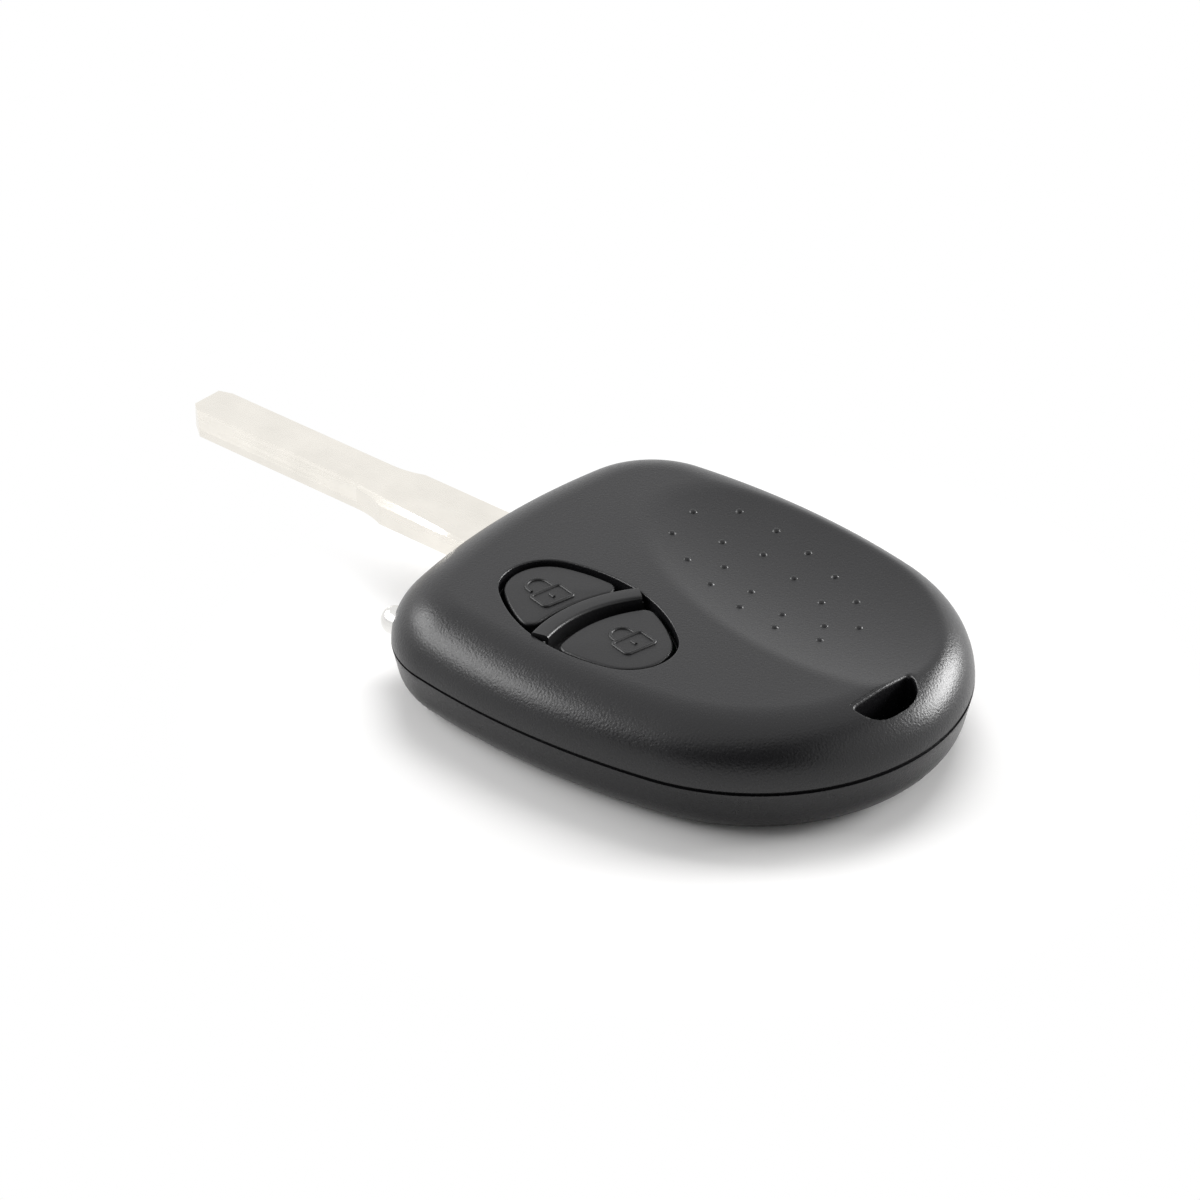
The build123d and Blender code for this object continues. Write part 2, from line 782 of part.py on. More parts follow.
def turned(points):
    """A solid turned about the vertical from half of its section."""
    return revolve(Plane.XZ * Face(Wire(Polyline(*points, close=True))), Axis.Z, 360)


def cell_frame():
    return Pos(place(cell_from_ring, 0, z_cell))


def make_cell_can():
    """Steel cup with its rim turned in over the gasket."""
    rim = cell_height - cell_cap_rise
    inner = cell_radius - cell_skin
    lip = cell_radius - cell_lip
    can = turned((
        (0, 0), (cell_radius, 0), (cell_radius, rim), (lip, rim), (lip, rim - cell_skin),
        (inner, rim - cell_skin), (inner, cell_skin), (0, cell_skin),
    ))
    return cell_frame() * can


def make_cell_gasket():
    rim = cell_height - cell_cap_rise
    outer = cell_radius - cell_skin - cell_gap
    inner = cell_cap_radius + cell_gap
    lip = cell_radius - cell_lip - cell_gap
    return cell_frame() * turned((
        (inner, cell_skin), (outer, cell_skin), (outer, rim - cell_skin), (lip, rim - cell_skin),
        (lip, rim), (inner, rim),
    ))


def make_cell_cap():
    rise = cell_height - cell_cap_rise
    step = cell_cap_radius - cell_cap_rise
    return cell_frame() * turned((
        (0, cell_skin), (cell_cap_radius, cell_skin), (cell_cap_radius, rise), (step, cell_height),
        (0, cell_height),
    ))


def make_side_contact():
    """Leaf standing against the can, with a foot under the board."""
    x = place(cell_from_ring, 0).X + cell_radius + contact_gap
    half = side_contact_width / 2
    leaf = block(x, x + contact_thickness, -half, half, z_board - side_contact_height, z_board)
    foot = block(x, x + side_contact_foot, -half, half, z_board - contact_thickness, z_board)
    return leaf + foot


def make_centre_contact():
    """Bent leaf from the board's underside to the cap's middle."""
    x_end = place(cell_from_ring, 0).X
    x_foot = x_end - centre_contact_length
    low = z_cell_top + contact_gap
    high = z_board - contact_thickness
    strip = Polyline(
        (x_foot - centre_contact_foot, high), (x_foot, high), (x_end - centre_contact_width, low),
        (x_end + centre_contact_width / 2, low), (x_end + centre_contact_width / 2, low + contact_thickness),
        (x_end - centre_contact_width, low + contact_thickness), (x_foot, z_board),
        (x_foot - centre_contact_foot, z_board), close=True,
    )
    return extrude(Plane.XZ * Face(Wire(strip)), centre_contact_width / 2, both=True)


def make_blade_contact():
    """Leaf standing against the tang's end, with a foot on the board."""
    x = x_front + tang_length + contact_gap
    half = leaf_width / 2
    stand = block(x, x + contact_thickness, -half, half, z_board_top, z_board_top + leaf_height)
    return stand + block(x, x + leaf_foot, -half, half, z_board_top, z_board_top + contact_thickness)


def make_contact_pin():
    """Ball-ended pin with the collar behind the wall and a tail in the spring."""
    wall = pin_reach + pin_wall
    back = wall + pin_collar_length
    end = back + pin_tail_length
    share = math.sqrt(1 / 2)
    ball = ThreePointArc((0, 0), (pin_radius * (1 - share), pin_radius * share), (pin_radius, pin_radius))
    sides = Polyline(
        (pin_radius, pin_radius), (wall, pin_radius), (wall, pin_collar_radius), (back, pin_collar_radius),
        (back, pin_tail_radius), (end, pin_tail_radius), (end, 0), (0, 0),
    )
    pin = revolve(Face(Wire([ball, *sides.edges()])), Axis.X, 360)
    return Pos(x_pin_front - pin_reach, pin_aside, z_split) * pin


def make_pin_spring():
    """The spring's sleeve of turns, drawn as a plain tube."""
    end = x_spring + spring_length
    return rod_x(x_spring, end, spring_outer_radius) - rod_x(x_spring, end, spring_inner_radius)


def make_pin_clip():
    """Plate that closes the sleeve, with a foot over the board."""
    half = pin_collar_radius + sleeve_gap + clip_seat_depth - pin_gap
    low = z_split - clip_drop + spring_seat_gap
    high = z_board_top + clip_rise
    plate = block(x_clip, x_clip + clip_thickness, pin_aside - half, pin_aside + half, low, high)
    foot = block(
        x_clip, x_clip + clip_thickness + clip_foot_length, pin_aside - half / 2, pin_aside + half / 2,
        z_board_top, z_board_top + clip_thickness,
    )
    return plate + foot


def make_chip():
    """Flat chip with leads on both long sides."""
    body = Box(chip_length, chip_width, chip_height - chip_lead_thickness, align=UPWARD)
    chip = Pos(0, 0, chip_lead_thickness) * body
    first = -chip_lead_pitch * (chip_lead_count - 1) / 2
    for step in range(chip_lead_count):
        lead = Box(chip_lead_width, chip_width + 2 * chip_lead_reach, 2 * chip_lead_thickness, align=UPWARD)
        chip += Pos(first + step * chip_lead_pitch, 0, 0) * lead
    return Pos(place(chip_from_ring, chip_aside, z_board_top)) * chip


def make_resonator():
    """Oval metal can."""
    face = SlotCenterToCenter(2 * resonator_half_span, 2 * resonator_radius)
    return Pos(place(resonator_from_ring, resonator_aside, z_board_top)) * prism(face, 0, resonator_height)


def make_crystal():
    body = Box(crystal_length, crystal_width, crystal_height, align=UPWARD)
    lid_length = crystal_length - 2 * crystal_lid_inset
    lid_width = crystal_width - 2 * crystal_lid_inset
    lid = Pos(0, 0, crystal_height) * Box(lid_length, lid_width, crystal_lid_height, align=UPWARD)
    return Pos(place(crystal_from_ring, crystal_aside, z_board_top)) * (body + lid)


def make_antenna():
    """Open wire loop that stands on two feet."""
    outer = RectangleRounded(loop_length, loop_width, loop_corner_radius)
    inner_length = loop_length - 2 * loop_wire
    inner_width = loop_width - 2 * loop_wire
    inner = RectangleRounded(inner_length, inner_width, loop_corner_radius - loop_wire)
    break_gap = Pos(0, -loop_width / 2) * Rectangle(loop_foot, 2 * loop_wire)
    loop = prism(outer - inner - break_gap, loop_lift, loop_lift + loop_wire)
    for side in (-1, 1):
        foot_at = Vector(side * loop_foot, (loop_wire - loop_width) / 2, 0)
        loop += Pos(foot_at) * Box(loop_foot, loop_wire, loop_lift, align=UPWARD)
    return Pos(place(loop_from_ring, loop_aside, z_board_top)) * Rot(0, 0, loop_turn) * loop


def make_small_parts():
    return Compound(children=[
        Pos(place(ring_share * head_length, side_share * half_width, z_board_top))
        * Box(small_length, small_width, small_height, align=UPWARD)
        for ring_share, side_share in small_part_shares
    ])


def write(shape, name):
    export_step(shape, "parts/" + name + ".step")


os.makedirs("parts", exist_ok=True)
write(make_upper_shell(), "upper_shell")
write(make_lower_shell(), "lower_shell")
write(make_key_blade(), "key_blade")
write(make_keypad_web(), "keypad_web")
write(make_button(front_button_face(), front_button_face(button_flange)), "unlock_button")
write(make_button(back_button_face(), back_button_face(button_flange)), "lock_button")
write(make_contact_pin(), "contact_pin")
write(make_pin_spring(), "contact_pin_spring")
write(make_pin_clip(), "contact_pin_clip")
write(make_blade_contact(), "blade_contact")
write(make_board(), "circuit_board")
for name, along in (("unlock", -unlock_from_middle), ("lock", lock_from_middle)):
    frame = switch_frame(along)
    write(frame * make_switch_base(), name + "_switch_base")
    write(frame * make_switch_cover(), name + "_switch_cover")
    write(frame * make_plunger(), name + "_switch_plunger")
write(make_cell_can(), "cell_can")
write(make_cell_cap(), "cell_cap")
write(make_cell_gasket(), "cell_gasket")
write(make_side_contact(), "cell_side_contact")
write(make_centre_contact(), "cell_centre_contact")
write(make_chip(), "controller_chip")
write(make_resonator(), "resonator_can")
write(make_crystal(), "crystal_can")
write(make_antenna(), "antenna_loop")
write(make_small_parts(), "chip_parts")
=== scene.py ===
import bmesh
import bpy
import json
import math
import numpy as np
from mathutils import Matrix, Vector


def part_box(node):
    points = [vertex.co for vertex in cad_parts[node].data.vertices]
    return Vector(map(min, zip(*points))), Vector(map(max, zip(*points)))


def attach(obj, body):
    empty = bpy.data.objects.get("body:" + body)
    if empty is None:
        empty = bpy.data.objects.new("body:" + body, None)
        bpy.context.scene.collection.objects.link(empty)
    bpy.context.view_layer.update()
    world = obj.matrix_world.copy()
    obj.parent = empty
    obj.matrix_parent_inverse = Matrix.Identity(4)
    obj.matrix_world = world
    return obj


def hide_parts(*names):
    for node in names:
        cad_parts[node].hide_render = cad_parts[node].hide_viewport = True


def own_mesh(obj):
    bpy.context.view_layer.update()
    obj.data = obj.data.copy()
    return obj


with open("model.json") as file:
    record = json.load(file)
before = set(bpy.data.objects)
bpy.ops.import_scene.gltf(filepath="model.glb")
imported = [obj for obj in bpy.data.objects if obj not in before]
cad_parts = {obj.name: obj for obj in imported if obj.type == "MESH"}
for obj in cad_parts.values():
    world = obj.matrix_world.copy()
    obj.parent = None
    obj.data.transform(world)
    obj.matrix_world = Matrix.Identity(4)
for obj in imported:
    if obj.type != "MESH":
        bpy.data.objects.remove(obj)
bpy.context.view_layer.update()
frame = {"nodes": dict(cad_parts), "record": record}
MM = 0.001

# Sizes of the head in millimetres, as the frame has them
HEAD = 54.6
HALF = 22.5
X_RING = 46.95
X_FRONT = X_RING - HEAD
WIDEST = 33.6
SIDE_R = 79.0
FRONT_R = 68.0
CORNER_R = 10.4
CORNER_LOSS = 0.8
RISE = 6.0
UPRIGHT = 0.1
ROUND_R = RISE - UPRIGHT
DEPTH = 5.4
DRAFT = math.tan(math.radians(12.0))
EDGE_R = 3.6
WALL = 1.6
ROOF = 1.5
FLOOR = 1.5
Z_SPLIT = DEPTH
Z_TOP = Z_SPLIT + RISE
MIDDLE = np.array([X_FRONT + HEAD * 0.5, 0.0])
REAR_R = (SIDE_R**2 - (SIDE_R - HALF)**2 - WIDEST**2) / (2 * (SIDE_R - WIDEST))
REAR_AT = np.array([X_RING - REAR_R, 0.0])

# Groove at the foot of the upper shell, higher towards the ring end
GROOVE_INSET = 0.32
GROOVE_FRONT = 0.22
GROOVE_REAR = 0.42
GROOVE_LIP = 0.03
SPLIT_CHAMFER = 0.05

# Heights of the lower shell's room, and how much further in its wall is there
LOWER_ROOM = ((Z_SPLIT, 0), (3.6, 0), (2.2, 0), (FLOOR, 0.9))

# Thumb rest
REST_AT = (X_RING - 20.5, 8.0)
REST_TURN = math.radians(-12.5)
REST_DEPTH = 1.5
REST_BLEND = 0.2
REST_HALF_WIDTH = 11.0
REST_HALF_LENGTH = 21.5
REST_CROSS = (REST_HALF_WIDTH**2 + REST_DEPTH**2) / (2 * REST_DEPTH)
REST_LONG = (REST_HALF_LENGTH**2 + REST_DEPTH**2) / (2 * REST_DEPTH)

# Dots: how many, the first one's share of a step, the oval's middle, its half sizes and end radius
DOT_RINGS = (
    (13, 0.5, (X_RING - 25.8, 7.89), (12.685, 5.72, 4.62)),
    (8, 0.0, (X_RING - 24.5, 7.197), (8.6, 2.497, 2.09)),
)
DOT_PROFILE = ((0.48, -0.08), (0.40, 0.0), (0.32, 0.08), (0.22, 0.15), (0.11, 0.19))
DOT_HEIGHT = 0.2
DOTS_TURN = math.radians(-17.0)

# Button pocket, buttons and bar
POCKET_AT = (X_RING - 33.3, -9.8)
POCKET_TURN = math.radians(-11.6)
POCKET_HALF_LENGTH = 10.9
POCKET_HALF_WIDTH = 6.3
POCKET_END_R = 4.7
POCKET_RIM = 0.16
Z_POCKET = Z_SPLIT + 1.5
Z_CAD_BUTTON = Z_TOP - 0.55
Z_BUTTON = Z_TOP - 0.3
Z_BUTTON_SIDE = Z_CAD_BUTTON - 0.35
BUTTON_INSET = 0.18
BUTTON_EDGE_R = 0.3
BUTTON_CROWN = 0.1
BUTTON_SIDE = 1.2
BUTTON_DEEP = 2.1
Z_SIGN = Z_BUTTON + 0.06
LOCK_HALF_WIDTH = 1.75
LOCK_HEIGHT = 2.4
LOCK_CORNER_R = 0.4
LOCK_STROKE_R = 0.2
LOCK_SHIFT = 0.35
SHACKLE_R = LOCK_HALF_WIDTH - 0.6
SHACKLE_RISE_OPEN = 1.0
SHACKLE_RISE_SHUT = 0.55
SHACKLE_GAP = 0.5
KEYHOLE = ((0.0, -0.85), (0.0, -1.5))
BAR_BOW = 13.7
BAR_FROM_MIDDLE = 1.0
BAR_HALF = 0.92
BAR_REACH = 6.02
BAR_EDGE_R = 0.34
Z_BAR = Z_TOP + 0.3
Z_BAR_FOOT = Z_TOP - 2.0

# Keyring slot and the wall round it
SLOT_AT = (X_RING - 4.6, -1.8)
SLOT_TURN = math.radians(-4.0)
SLOT_HALF = 3.9
SLOT_LENGTH = 2.5
SLOT_BOW = 2.8
SLOT_ROUND = 0.52
SLOT_CORNER = 0.25
SLOT_RIM = 0.35
Z_SLOT = Z_SPLIT - 1.0
COLLAR_GAP = 0.02
COLLAR_WALL = 1.1
COLLAR_UNDER = 0.7
COLLAR_ROOM_UPPER = 1.3
COLLAR_ROOM_LOWER = 1.8
Z_COLLAR_TOP = Z_TOP - 1.1
Z_COLLAR_FOOT = 1.4

# How much wider the slot is at each height of the lower shell
SLOT_ROWS = ((0.5, -1.0), (0.5, 0.0), (0.15, 0.35), (0.0, 0.6), (0.0, Z_SPLIT + 1))

# Blade's opening, contact pin and its spring
Z_BLADE = Z_SPLIT + 1.2
BLADE_HALF = 3.53
BLADE_BELOW = 1.3
BLADE_ABOVE = 1.38
BLADE_BEFORE = 2
BLADE_BEHIND = 4
PIN_Y = -15.6
PIN_R = 1.45
PIN_HOLE_R = 1.53
PIN_COLLAR_R = 2.0
PIN_TAIL_R = 0.7
PIN_COLLAR_FROM = 2.2
PIN_TAIL_FROM = 3.1
PIN_END = 5.1
PIN_HOLE_BEFORE = 3
PIN_HOLE_BEHIND = 9
X_PIN = X_FRONT + FRONT_R - math.sqrt(FRONT_R**2 - PIN_Y**2)
SPRING_WIRE = 0.16
SPRING_TURNS = 7

# Cutters run past what they cut by this much, and past a rounded mouth by these
OVER = 2.0
MOUTH_OUT = 0.02
MOUTH_UP = 0.05

# How finely the meshes are divided
REAR_POINTS = 96
SIDE_POINTS = 74
CORNER_POINTS = 34
FRONT_POINTS = 78
OUTLINE_POINTS = REAR_POINTS + 2 * SIDE_POINTS + 2 * CORNER_POINTS + FRONT_POINTS
ROUND_STEPS = 26
TOP_ROWS = 68
EDGE_STEPS = 14
RIM_STEPS = 6
DOT_SIDES = 20
DOT_LINE_POINTS = 1040
POCKET_POINTS = 220
BUTTON_POINTS = 260
BAR_ROWS = 48
COIL_STEPS = 24

# Edges sharper than these stay sharp, in degrees
SHELL_SHARP = 32
BUTTON_SHARP = 40
BAR_SHARP = 35
BLADE_SHARP = 12
PIN_SHARP = 50


# Outline of the head

def outline_loop(inset):
    """Points of the outline, moved in by inset, which may differ from point to point."""
    total = OUTLINE_POINTS
    inset = np.broadcast_to(np.asarray(inset, float), (total,))
    corner = CORNER_R - inset * CORNER_LOSS
    side = SIDE_R - inset
    front = FRONT_R - inset
    side_at = np.array([X_RING - WIDEST, SIDE_R - HALF])
    front_at = np.array([X_FRONT + FRONT_R, 0.0])
    gap = np.linalg.norm(front_at - side_at)
    way = (front_at - side_at) / gap
    ra, rb = side - corner, front - corner
    along = (ra**2 - rb**2 + gap**2) / (2 * gap)
    off = np.sqrt(ra**2 - along**2)
    corner_at = side_at + way * along[:, None] + np.array([way[1], -way[0]]) * off[:, None]
    to_rear = (REAR_AT - side_at) / np.linalg.norm(REAR_AT - side_at)
    rear_turn = math.atan2(to_rear[1], to_rear[0])
    side_turn = angle_of(corner_at - side_at)
    front_turn = angle_of(corner_at - front_at)
    corner_turn = np.where(front_turn > side_turn, front_turn - 2 * np.pi, front_turn)
    front_turn = np.where(front_turn < 0, front_turn + 2 * np.pi, front_turn)
    arcs = (
        (REAR_POINTS, REAR_AT, REAR_R - inset, rear_turn, -rear_turn, 1),
        (SIDE_POINTS, side_at, side, rear_turn, side_turn, -1),
        (CORNER_POINTS, corner_at, corner, side_turn, corner_turn, -1),
        (FRONT_POINTS, front_at, front, 2 * np.pi - front_turn, front_turn, 1),
        (CORNER_POINTS, corner_at, corner, corner_turn, side_turn, 1),
        (SIDE_POINTS, side_at, side, side_turn, rear_turn, 1),
    )
    out = np.zeros((total, 2))
    first = 0
    for count, at, radius, start, end, mirror in arcs:
        part = slice(first, first + count)
        radius, start, end = (np.broadcast_to(v, (total,))[part] for v in (radius, start, end))
        t = (np.arange(count) + 0.5) / count
        a = start + (end - start) * t
        ring = radius[:, None] * np.stack([np.cos(a), np.sin(a)], 1)
        out[part] = (np.broadcast_to(at, (total, 2))[part] + ring) * [1, mirror]
        first += count
    return out


def angle_of(v):
    return np.arctan2(v[:, 1], v[:, 0])


def rest_z(x, y, grow=0.0):
    """Height of the thumb rest's surface, moved down into the wall by grow."""
    c, s = math.cos(-REST_TURN), math.sin(-REST_TURN)
    dx, dy = x - REST_AT[0], y - REST_AT[1]
    u, v = dx * c - dy * s, dx * s + dy * c
    r = REST_LONG - REST_CROSS + np.sqrt(np.maximum((REST_CROSS + grow)**2 - v**2, 0))
    return Z_TOP - REST_DEPTH + REST_LONG - np.sqrt(np.maximum(r**2 - u**2, 0))


def soft_min(a, b, k):
    """The lesser of two heights, blended over k where they cross."""
    h = np.clip(0.5 + 0.5 * (b - a) / k, 0, 1)
    return b + (a - b) * h - k * h * (1 - h)


def surface_z(x, y):
    """Height of the shell's top at places well inside the rounding's foot."""
    x, y = np.atleast_1d(x).astype(float), np.atleast_1d(y).astype(float)
    z = np.full(x.shape, Z_TOP)
    insets = np.linspace(0, ROUND_R, 60)
    loops = [outline_loop(i) for i in insets]
    for n in range(x.size):
        p = np.array([x[n], y[n]])
        best = None
        for inset, loop in zip(insets, loops):
            d = np.linalg.norm(loop - p, axis=1).min()
            if best is None or d < best[0]:
                best = (d, inset)
        if best[1] < ROUND_R * 0.995:
            z[n] = Z_SPLIT + UPRIGHT + ROUND_R * math.sin(math.acos(1 - best[1] / ROUND_R))
    return soft_min(z, rest_z(x, y), REST_BLEND)


# Mesh helpers

def mesh_object(name, verts, faces, smooth=True):
    mesh = bpy.data.meshes.new(name)
    mesh.from_pydata([tuple(np.asarray(v, float) * MM) for v in verts], [], faces)
    mesh.validate()
    mesh.update()
    obj = bpy.data.objects.new(name, mesh)
    bpy.context.scene.collection.objects.link(obj)
    if smooth:
        mesh.shade_smooth()
    return obj


def skin(loops, cap_low=None, cap_high=None):
    """Vertices and faces of stacked closed loops, with a fan to a point at each given end."""
    n = len(loops[0])
    verts = np.concatenate(loops)
    faces = []
    for k in range(len(loops) - 1):
        a, b = k * n, (k + 1) * n
        for i in range(n):
            j = (i + 1) % n
            faces.append((a + i, a + j, b + j, b + i))
    verts = list(verts)
    if cap_high is not None:
        verts.append(cap_high)
        a = (len(loops) - 1) * n
        for i in range(n):
            faces.append((a + i, a + (i + 1) % n, len(verts) - 1))
    if cap_low is not None:
        verts.append(cap_low)
        for i in range(n):
            faces.append(((i + 1) % n, i, len(verts) - 1))
    return verts, faces


def lift(loop, z):
    return np.column_stack([loop, np.broadcast_to(z, len(loop))])


def cut(obj, tool):
    """Cut the tool out of the object and drop the tool."""
    mod = obj.modifiers.new("cut", "BOOLEAN")
    mod.operation = "DIFFERENCE"
    mod.solver = "EXACT"
    mod.object = tool
    bpy.context.view_layer.update()
    dg = bpy.context.evaluated_depsgraph_get()
    mesh = bpy.data.meshes.new_from_object(obj.evaluated_get(dg))
    obj.modifiers.clear()
    old = obj.data
    obj.data = mesh
    bpy.data.meshes.remove(old)
    bpy.data.objects.remove(tool)
    return obj


def auto_smooth(obj, angle):
    """Smooth shading with sharp edges over the angle, in degrees."""
    mesh = obj.data
    mesh.shade_smooth()
    bm = bmesh.new()
    bm.from_mesh(mesh)
    limit = math.radians(angle)
    for e in bm.edges:
        e.smooth = len(e.link_faces) == 2 and e.calc_face_angle(0) < limit
    bm.to_mesh(mesh)
    bm.free()


def turn2(points, angle, at):
    c, s = math.cos(angle), math.sin(angle)
    p = np.asarray(points, float)
    return np.column_stack([p[:, 0] * c - p[:, 1] * s + at[0], p[:, 0] * s + p[:, 1] * c + at[1]])


def resample(points, count):
    """Even points along a closed line."""
    p = np.vstack([points, points[:1]])
    d = np.r_[0, np.cumsum(np.linalg.norm(np.diff(p, axis=0), axis=1))]
    t = np.linspace(0, d[-1], count, endpoint=False)
    return np.column_stack([np.interp(t, d, p[:, i]) for i in range(p.shape[1])])


def oval_loop(half_length, half_width, end, count):
    """An oval of four tangent arcs, as even points."""
    a, b, e = half_length, half_width, end
    reach = a - e
    side = (reach**2 + b**2 - e**2) / (2 * (b - e))
    low = np.array([0, side - b])
    w = np.array([reach, 0]) - low
    w = w / np.linalg.norm(w)
    a0 = math.atan2(w[1], w[0])
    parts = []
    t = np.linspace(-math.pi - a0, a0, 80)
    parts.append(low + side * np.column_stack([np.cos(t), np.sin(t)]))
    t = np.linspace(a0, -a0, 60)
    parts.append(np.array([reach, 0]) + e * np.column_stack([np.cos(t), np.sin(t)]))
    pts = np.vstack(parts)
    top = -pts
    return resample(np.vstack([pts, top]), count)


def disc_rows(rim, centre, count):
    """Loops from a rim towards its centre, without the centre itself."""
    rows = []
    for k in range(1, count):
        t = k / count
        rows.append(rim + (centre - rim) * t)
    return rows


# Shells

def upper_outer():
    """Outer skin of the upper shell: groove, rounding, flat top and thumb rest."""
    base = outline_loop(0.0)
    share = (base[:, 0] - X_FRONT) / HEAD
    groove = GROOVE_FRONT + (GROOVE_REAR - GROOVE_FRONT) * np.clip(share, 0, 1)
    start = np.arcsin((groove - UPRIGHT) / ROUND_R)
    foot = outline_loop(GROOVE_INSET)
    loops = [lift(foot, Z_SPLIT), lift(foot, Z_SPLIT + groove - GROOVE_LIP)]
    for k in range(ROUND_STEPS + 1):
        turn = start + (math.pi / 2 - start) * (k / ROUND_STEPS)
        loop = outline_loop(ROUND_R * (1 - np.cos(turn)))
        z = Z_SPLIT + UPRIGHT + ROUND_R * np.sin(turn)
        loops.append(np.column_stack([loop, z]))
    for row in disc_rows(loops[-1][:, :2], MIDDLE, TOP_ROWS):
        loops.append(lift(row, Z_TOP))
    for loop in loops[6:]:
        loop[:, 2] = soft_min(loop[:, 2], rest_z(loop[:, 0], loop[:, 1]), REST_BLEND)
    low = soft_min(np.array([Z_TOP]), rest_z(MIDDLE[:1], MIDDLE[1:]), REST_BLEND)
    return skin(loops, cap_high=np.array([*MIDDLE, float(low[0])]))


def upper_inner(steps=12, rows=14):
    """Inner skin of the upper shell, a wall's thickness inside the outer one."""
    loops = []
    for k in range(steps + 1):
        turn = math.pi / 2 * k / steps
        loop = outline_loop(WALL + (ROUND_R - WALL) * (1 - math.cos(turn)))
        loops.append(lift(loop, Z_SPLIT + (RISE - ROOF) * math.sin(turn)))
    for row in disc_rows(loops[-1][:, :2], MIDDLE, rows):
        loops.append(lift(row, Z_TOP - ROOF))
    for loop in loops[3:]:
        loop[:, 2] = np.minimum(loop[:, 2], rest_z(loop[:, 0], loop[:, 1], ROOF))
    low = min(Z_TOP - ROOF, float(rest_z(MIDDLE[:1], MIDDLE[1:], ROOF)[0]))
    return skin(loops, cap_high=np.array([*MIDDLE, low]))


def lower_outer(side_rows=6, base_rows=10):
    """Outer skin of the lower shell: drafted side, rounded edge and flat underside."""
    loops = [lift(outline_loop(0.0), Z_SPLIT), lift(outline_loop(SPLIT_CHAMFER), Z_SPLIT - SPLIT_CHAMFER)]
    lean = math.atan(DRAFT)
    foot = DEPTH * DRAFT + EDGE_R * math.tan((math.pi / 2 - lean) / 2)
    edge_z = EDGE_R * (1 - math.sin(lean))
    for t in np.linspace(0.12, 1, side_rows):
        z = Z_SPLIT + (edge_z - Z_SPLIT) * t
        loops.append(lift(outline_loop((Z_SPLIT - z) * DRAFT), z))
    for k in range(1, EDGE_STEPS + 1):
        turn = lean + (math.pi / 2 - lean) * k / EDGE_STEPS
        z = EDGE_R * (1 - math.sin(turn))
        loops.append(lift(outline_loop(foot - EDGE_R * math.cos(turn)), z))
    for row in disc_rows(loops[-1][:, :2], MIDDLE, base_rows):
        loops.append(lift(row, 0.0))
    return skin(loops, cap_high=np.array([*MIDDLE, 0.0]))


def lower_inner(rows=5):
    """Inner skin of the lower shell, with a sloping foot."""
    loops = []
    for z, slope in LOWER_ROOM:
        loops.append(lift(outline_loop(WALL + (Z_SPLIT - z) * DRAFT + slope), z))
    for row in disc_rows(loops[-1][:, :2], MIDDLE, rows):
        loops.append(lift(row, FLOOR))
    return skin(loops, cap_high=np.array([*MIDDLE, FLOOR]))


def closed_shell(name, outer, inner, turned=False):
    """One closed wall from an outer and an inner skin, joined along their first loops."""
    outer_verts, outer_faces = outer
    inner_verts, inner_faces = inner
    offset = len(outer_verts)
    faces = list(outer_faces)
    faces += [tuple(offset + i for i in reversed(face)) for face in inner_faces]
    for i in range(OUTLINE_POINTS):
        j = (i + 1) % OUTLINE_POINTS
        faces.append((offset + i, offset + j, j, i))
    if turned:
        faces = [tuple(reversed(face)) for face in faces]
    return mesh_object(name, list(outer_verts) + list(inner_verts), faces)


def slot_loop(grow=0.0, count=140):
    """The keyring slot's outline: straight front, bowed back and full round ends."""
    half, length = SLOT_HALF + grow, SLOT_LENGTH + 2 * grow
    t = np.sin(np.linspace(-math.pi / 2, math.pi / 2, 90))
    bow = np.column_stack([length * (1 - np.abs(t)**SLOT_BOW)**SLOT_ROUND, t * half])
    end = half - SLOT_CORNER
    steps = 30
    front = np.column_stack([np.zeros(steps), np.linspace(end, -end, steps)])
    pts = resample(np.vstack([bow, front]), count)
    for _ in range(10):
        pts = (np.roll(pts, 1, 0) + 2 * pts + np.roll(pts, -1, 0)) / 4
    return turn2(pts - [grow, 0], SLOT_TURN, SLOT_AT)


def hole_tool(loop_at, rim, depth_z):
    """A cutter whose mouth is rounded over by rim, following the surface height."""
    wall = loop_at(0.0)
    z = surface_z(wall[:, 0], wall[:, 1])
    rows = [np.column_stack([wall, np.full(len(wall), depth_z)])]
    for k in range(RIM_STEPS + 1):
        turn = math.pi / 2 * k / RIM_STEPS
        loop = loop_at(rim * (1 - math.cos(turn)))
        rows.append(np.column_stack([loop, z - rim + rim * math.sin(turn)]))
    top = loop_at(rim + MOUTH_OUT)
    rows.append(np.column_stack([top, z + MOUTH_UP]))
    rows.append(np.column_stack([top, z + OVER]))
    low = np.array([*wall.mean(0), depth_z])
    high = np.array([*wall.mean(0), float(z.max() + OVER)])
    verts, faces = skin(rows, cap_low=low, cap_high=high)
    return mesh_object("tool", verts, faces)


def box_tool(low, high):
    x0, y0, z0 = low
    x1, y1, z1 = high
    ring = ((x0, y0), (x1, y0), (x1, y1), (x0, y1))
    verts = [(x, y, z) for z in (z0, z1) for x, y in ring]
    faces = [(3, 2, 1, 0), (4, 5, 6, 7), (0, 1, 5, 4), (1, 2, 6, 5), (2, 3, 7, 6), (3, 0, 4, 7)]
    return mesh_object("tool", verts, faces, smooth=False)


def rod_tool(x0, x1, radius, count=64):
    """A round cutter along the contact pin's axis."""
    t = np.linspace(0, 2 * np.pi, count, endpoint=False)
    ring = np.column_stack([PIN_Y + radius * np.cos(t), Z_SPLIT + radius * np.sin(t)])
    rows = [np.column_stack([np.full(count, x), ring]) for x in (x0, x1)]
    ends = [np.array([x, PIN_Y, Z_SPLIT]) for x in (x0, x1)]
    verts, faces = skin(rows, cap_low=ends[0], cap_high=ends[1])
    return mesh_object("tool", verts, faces)


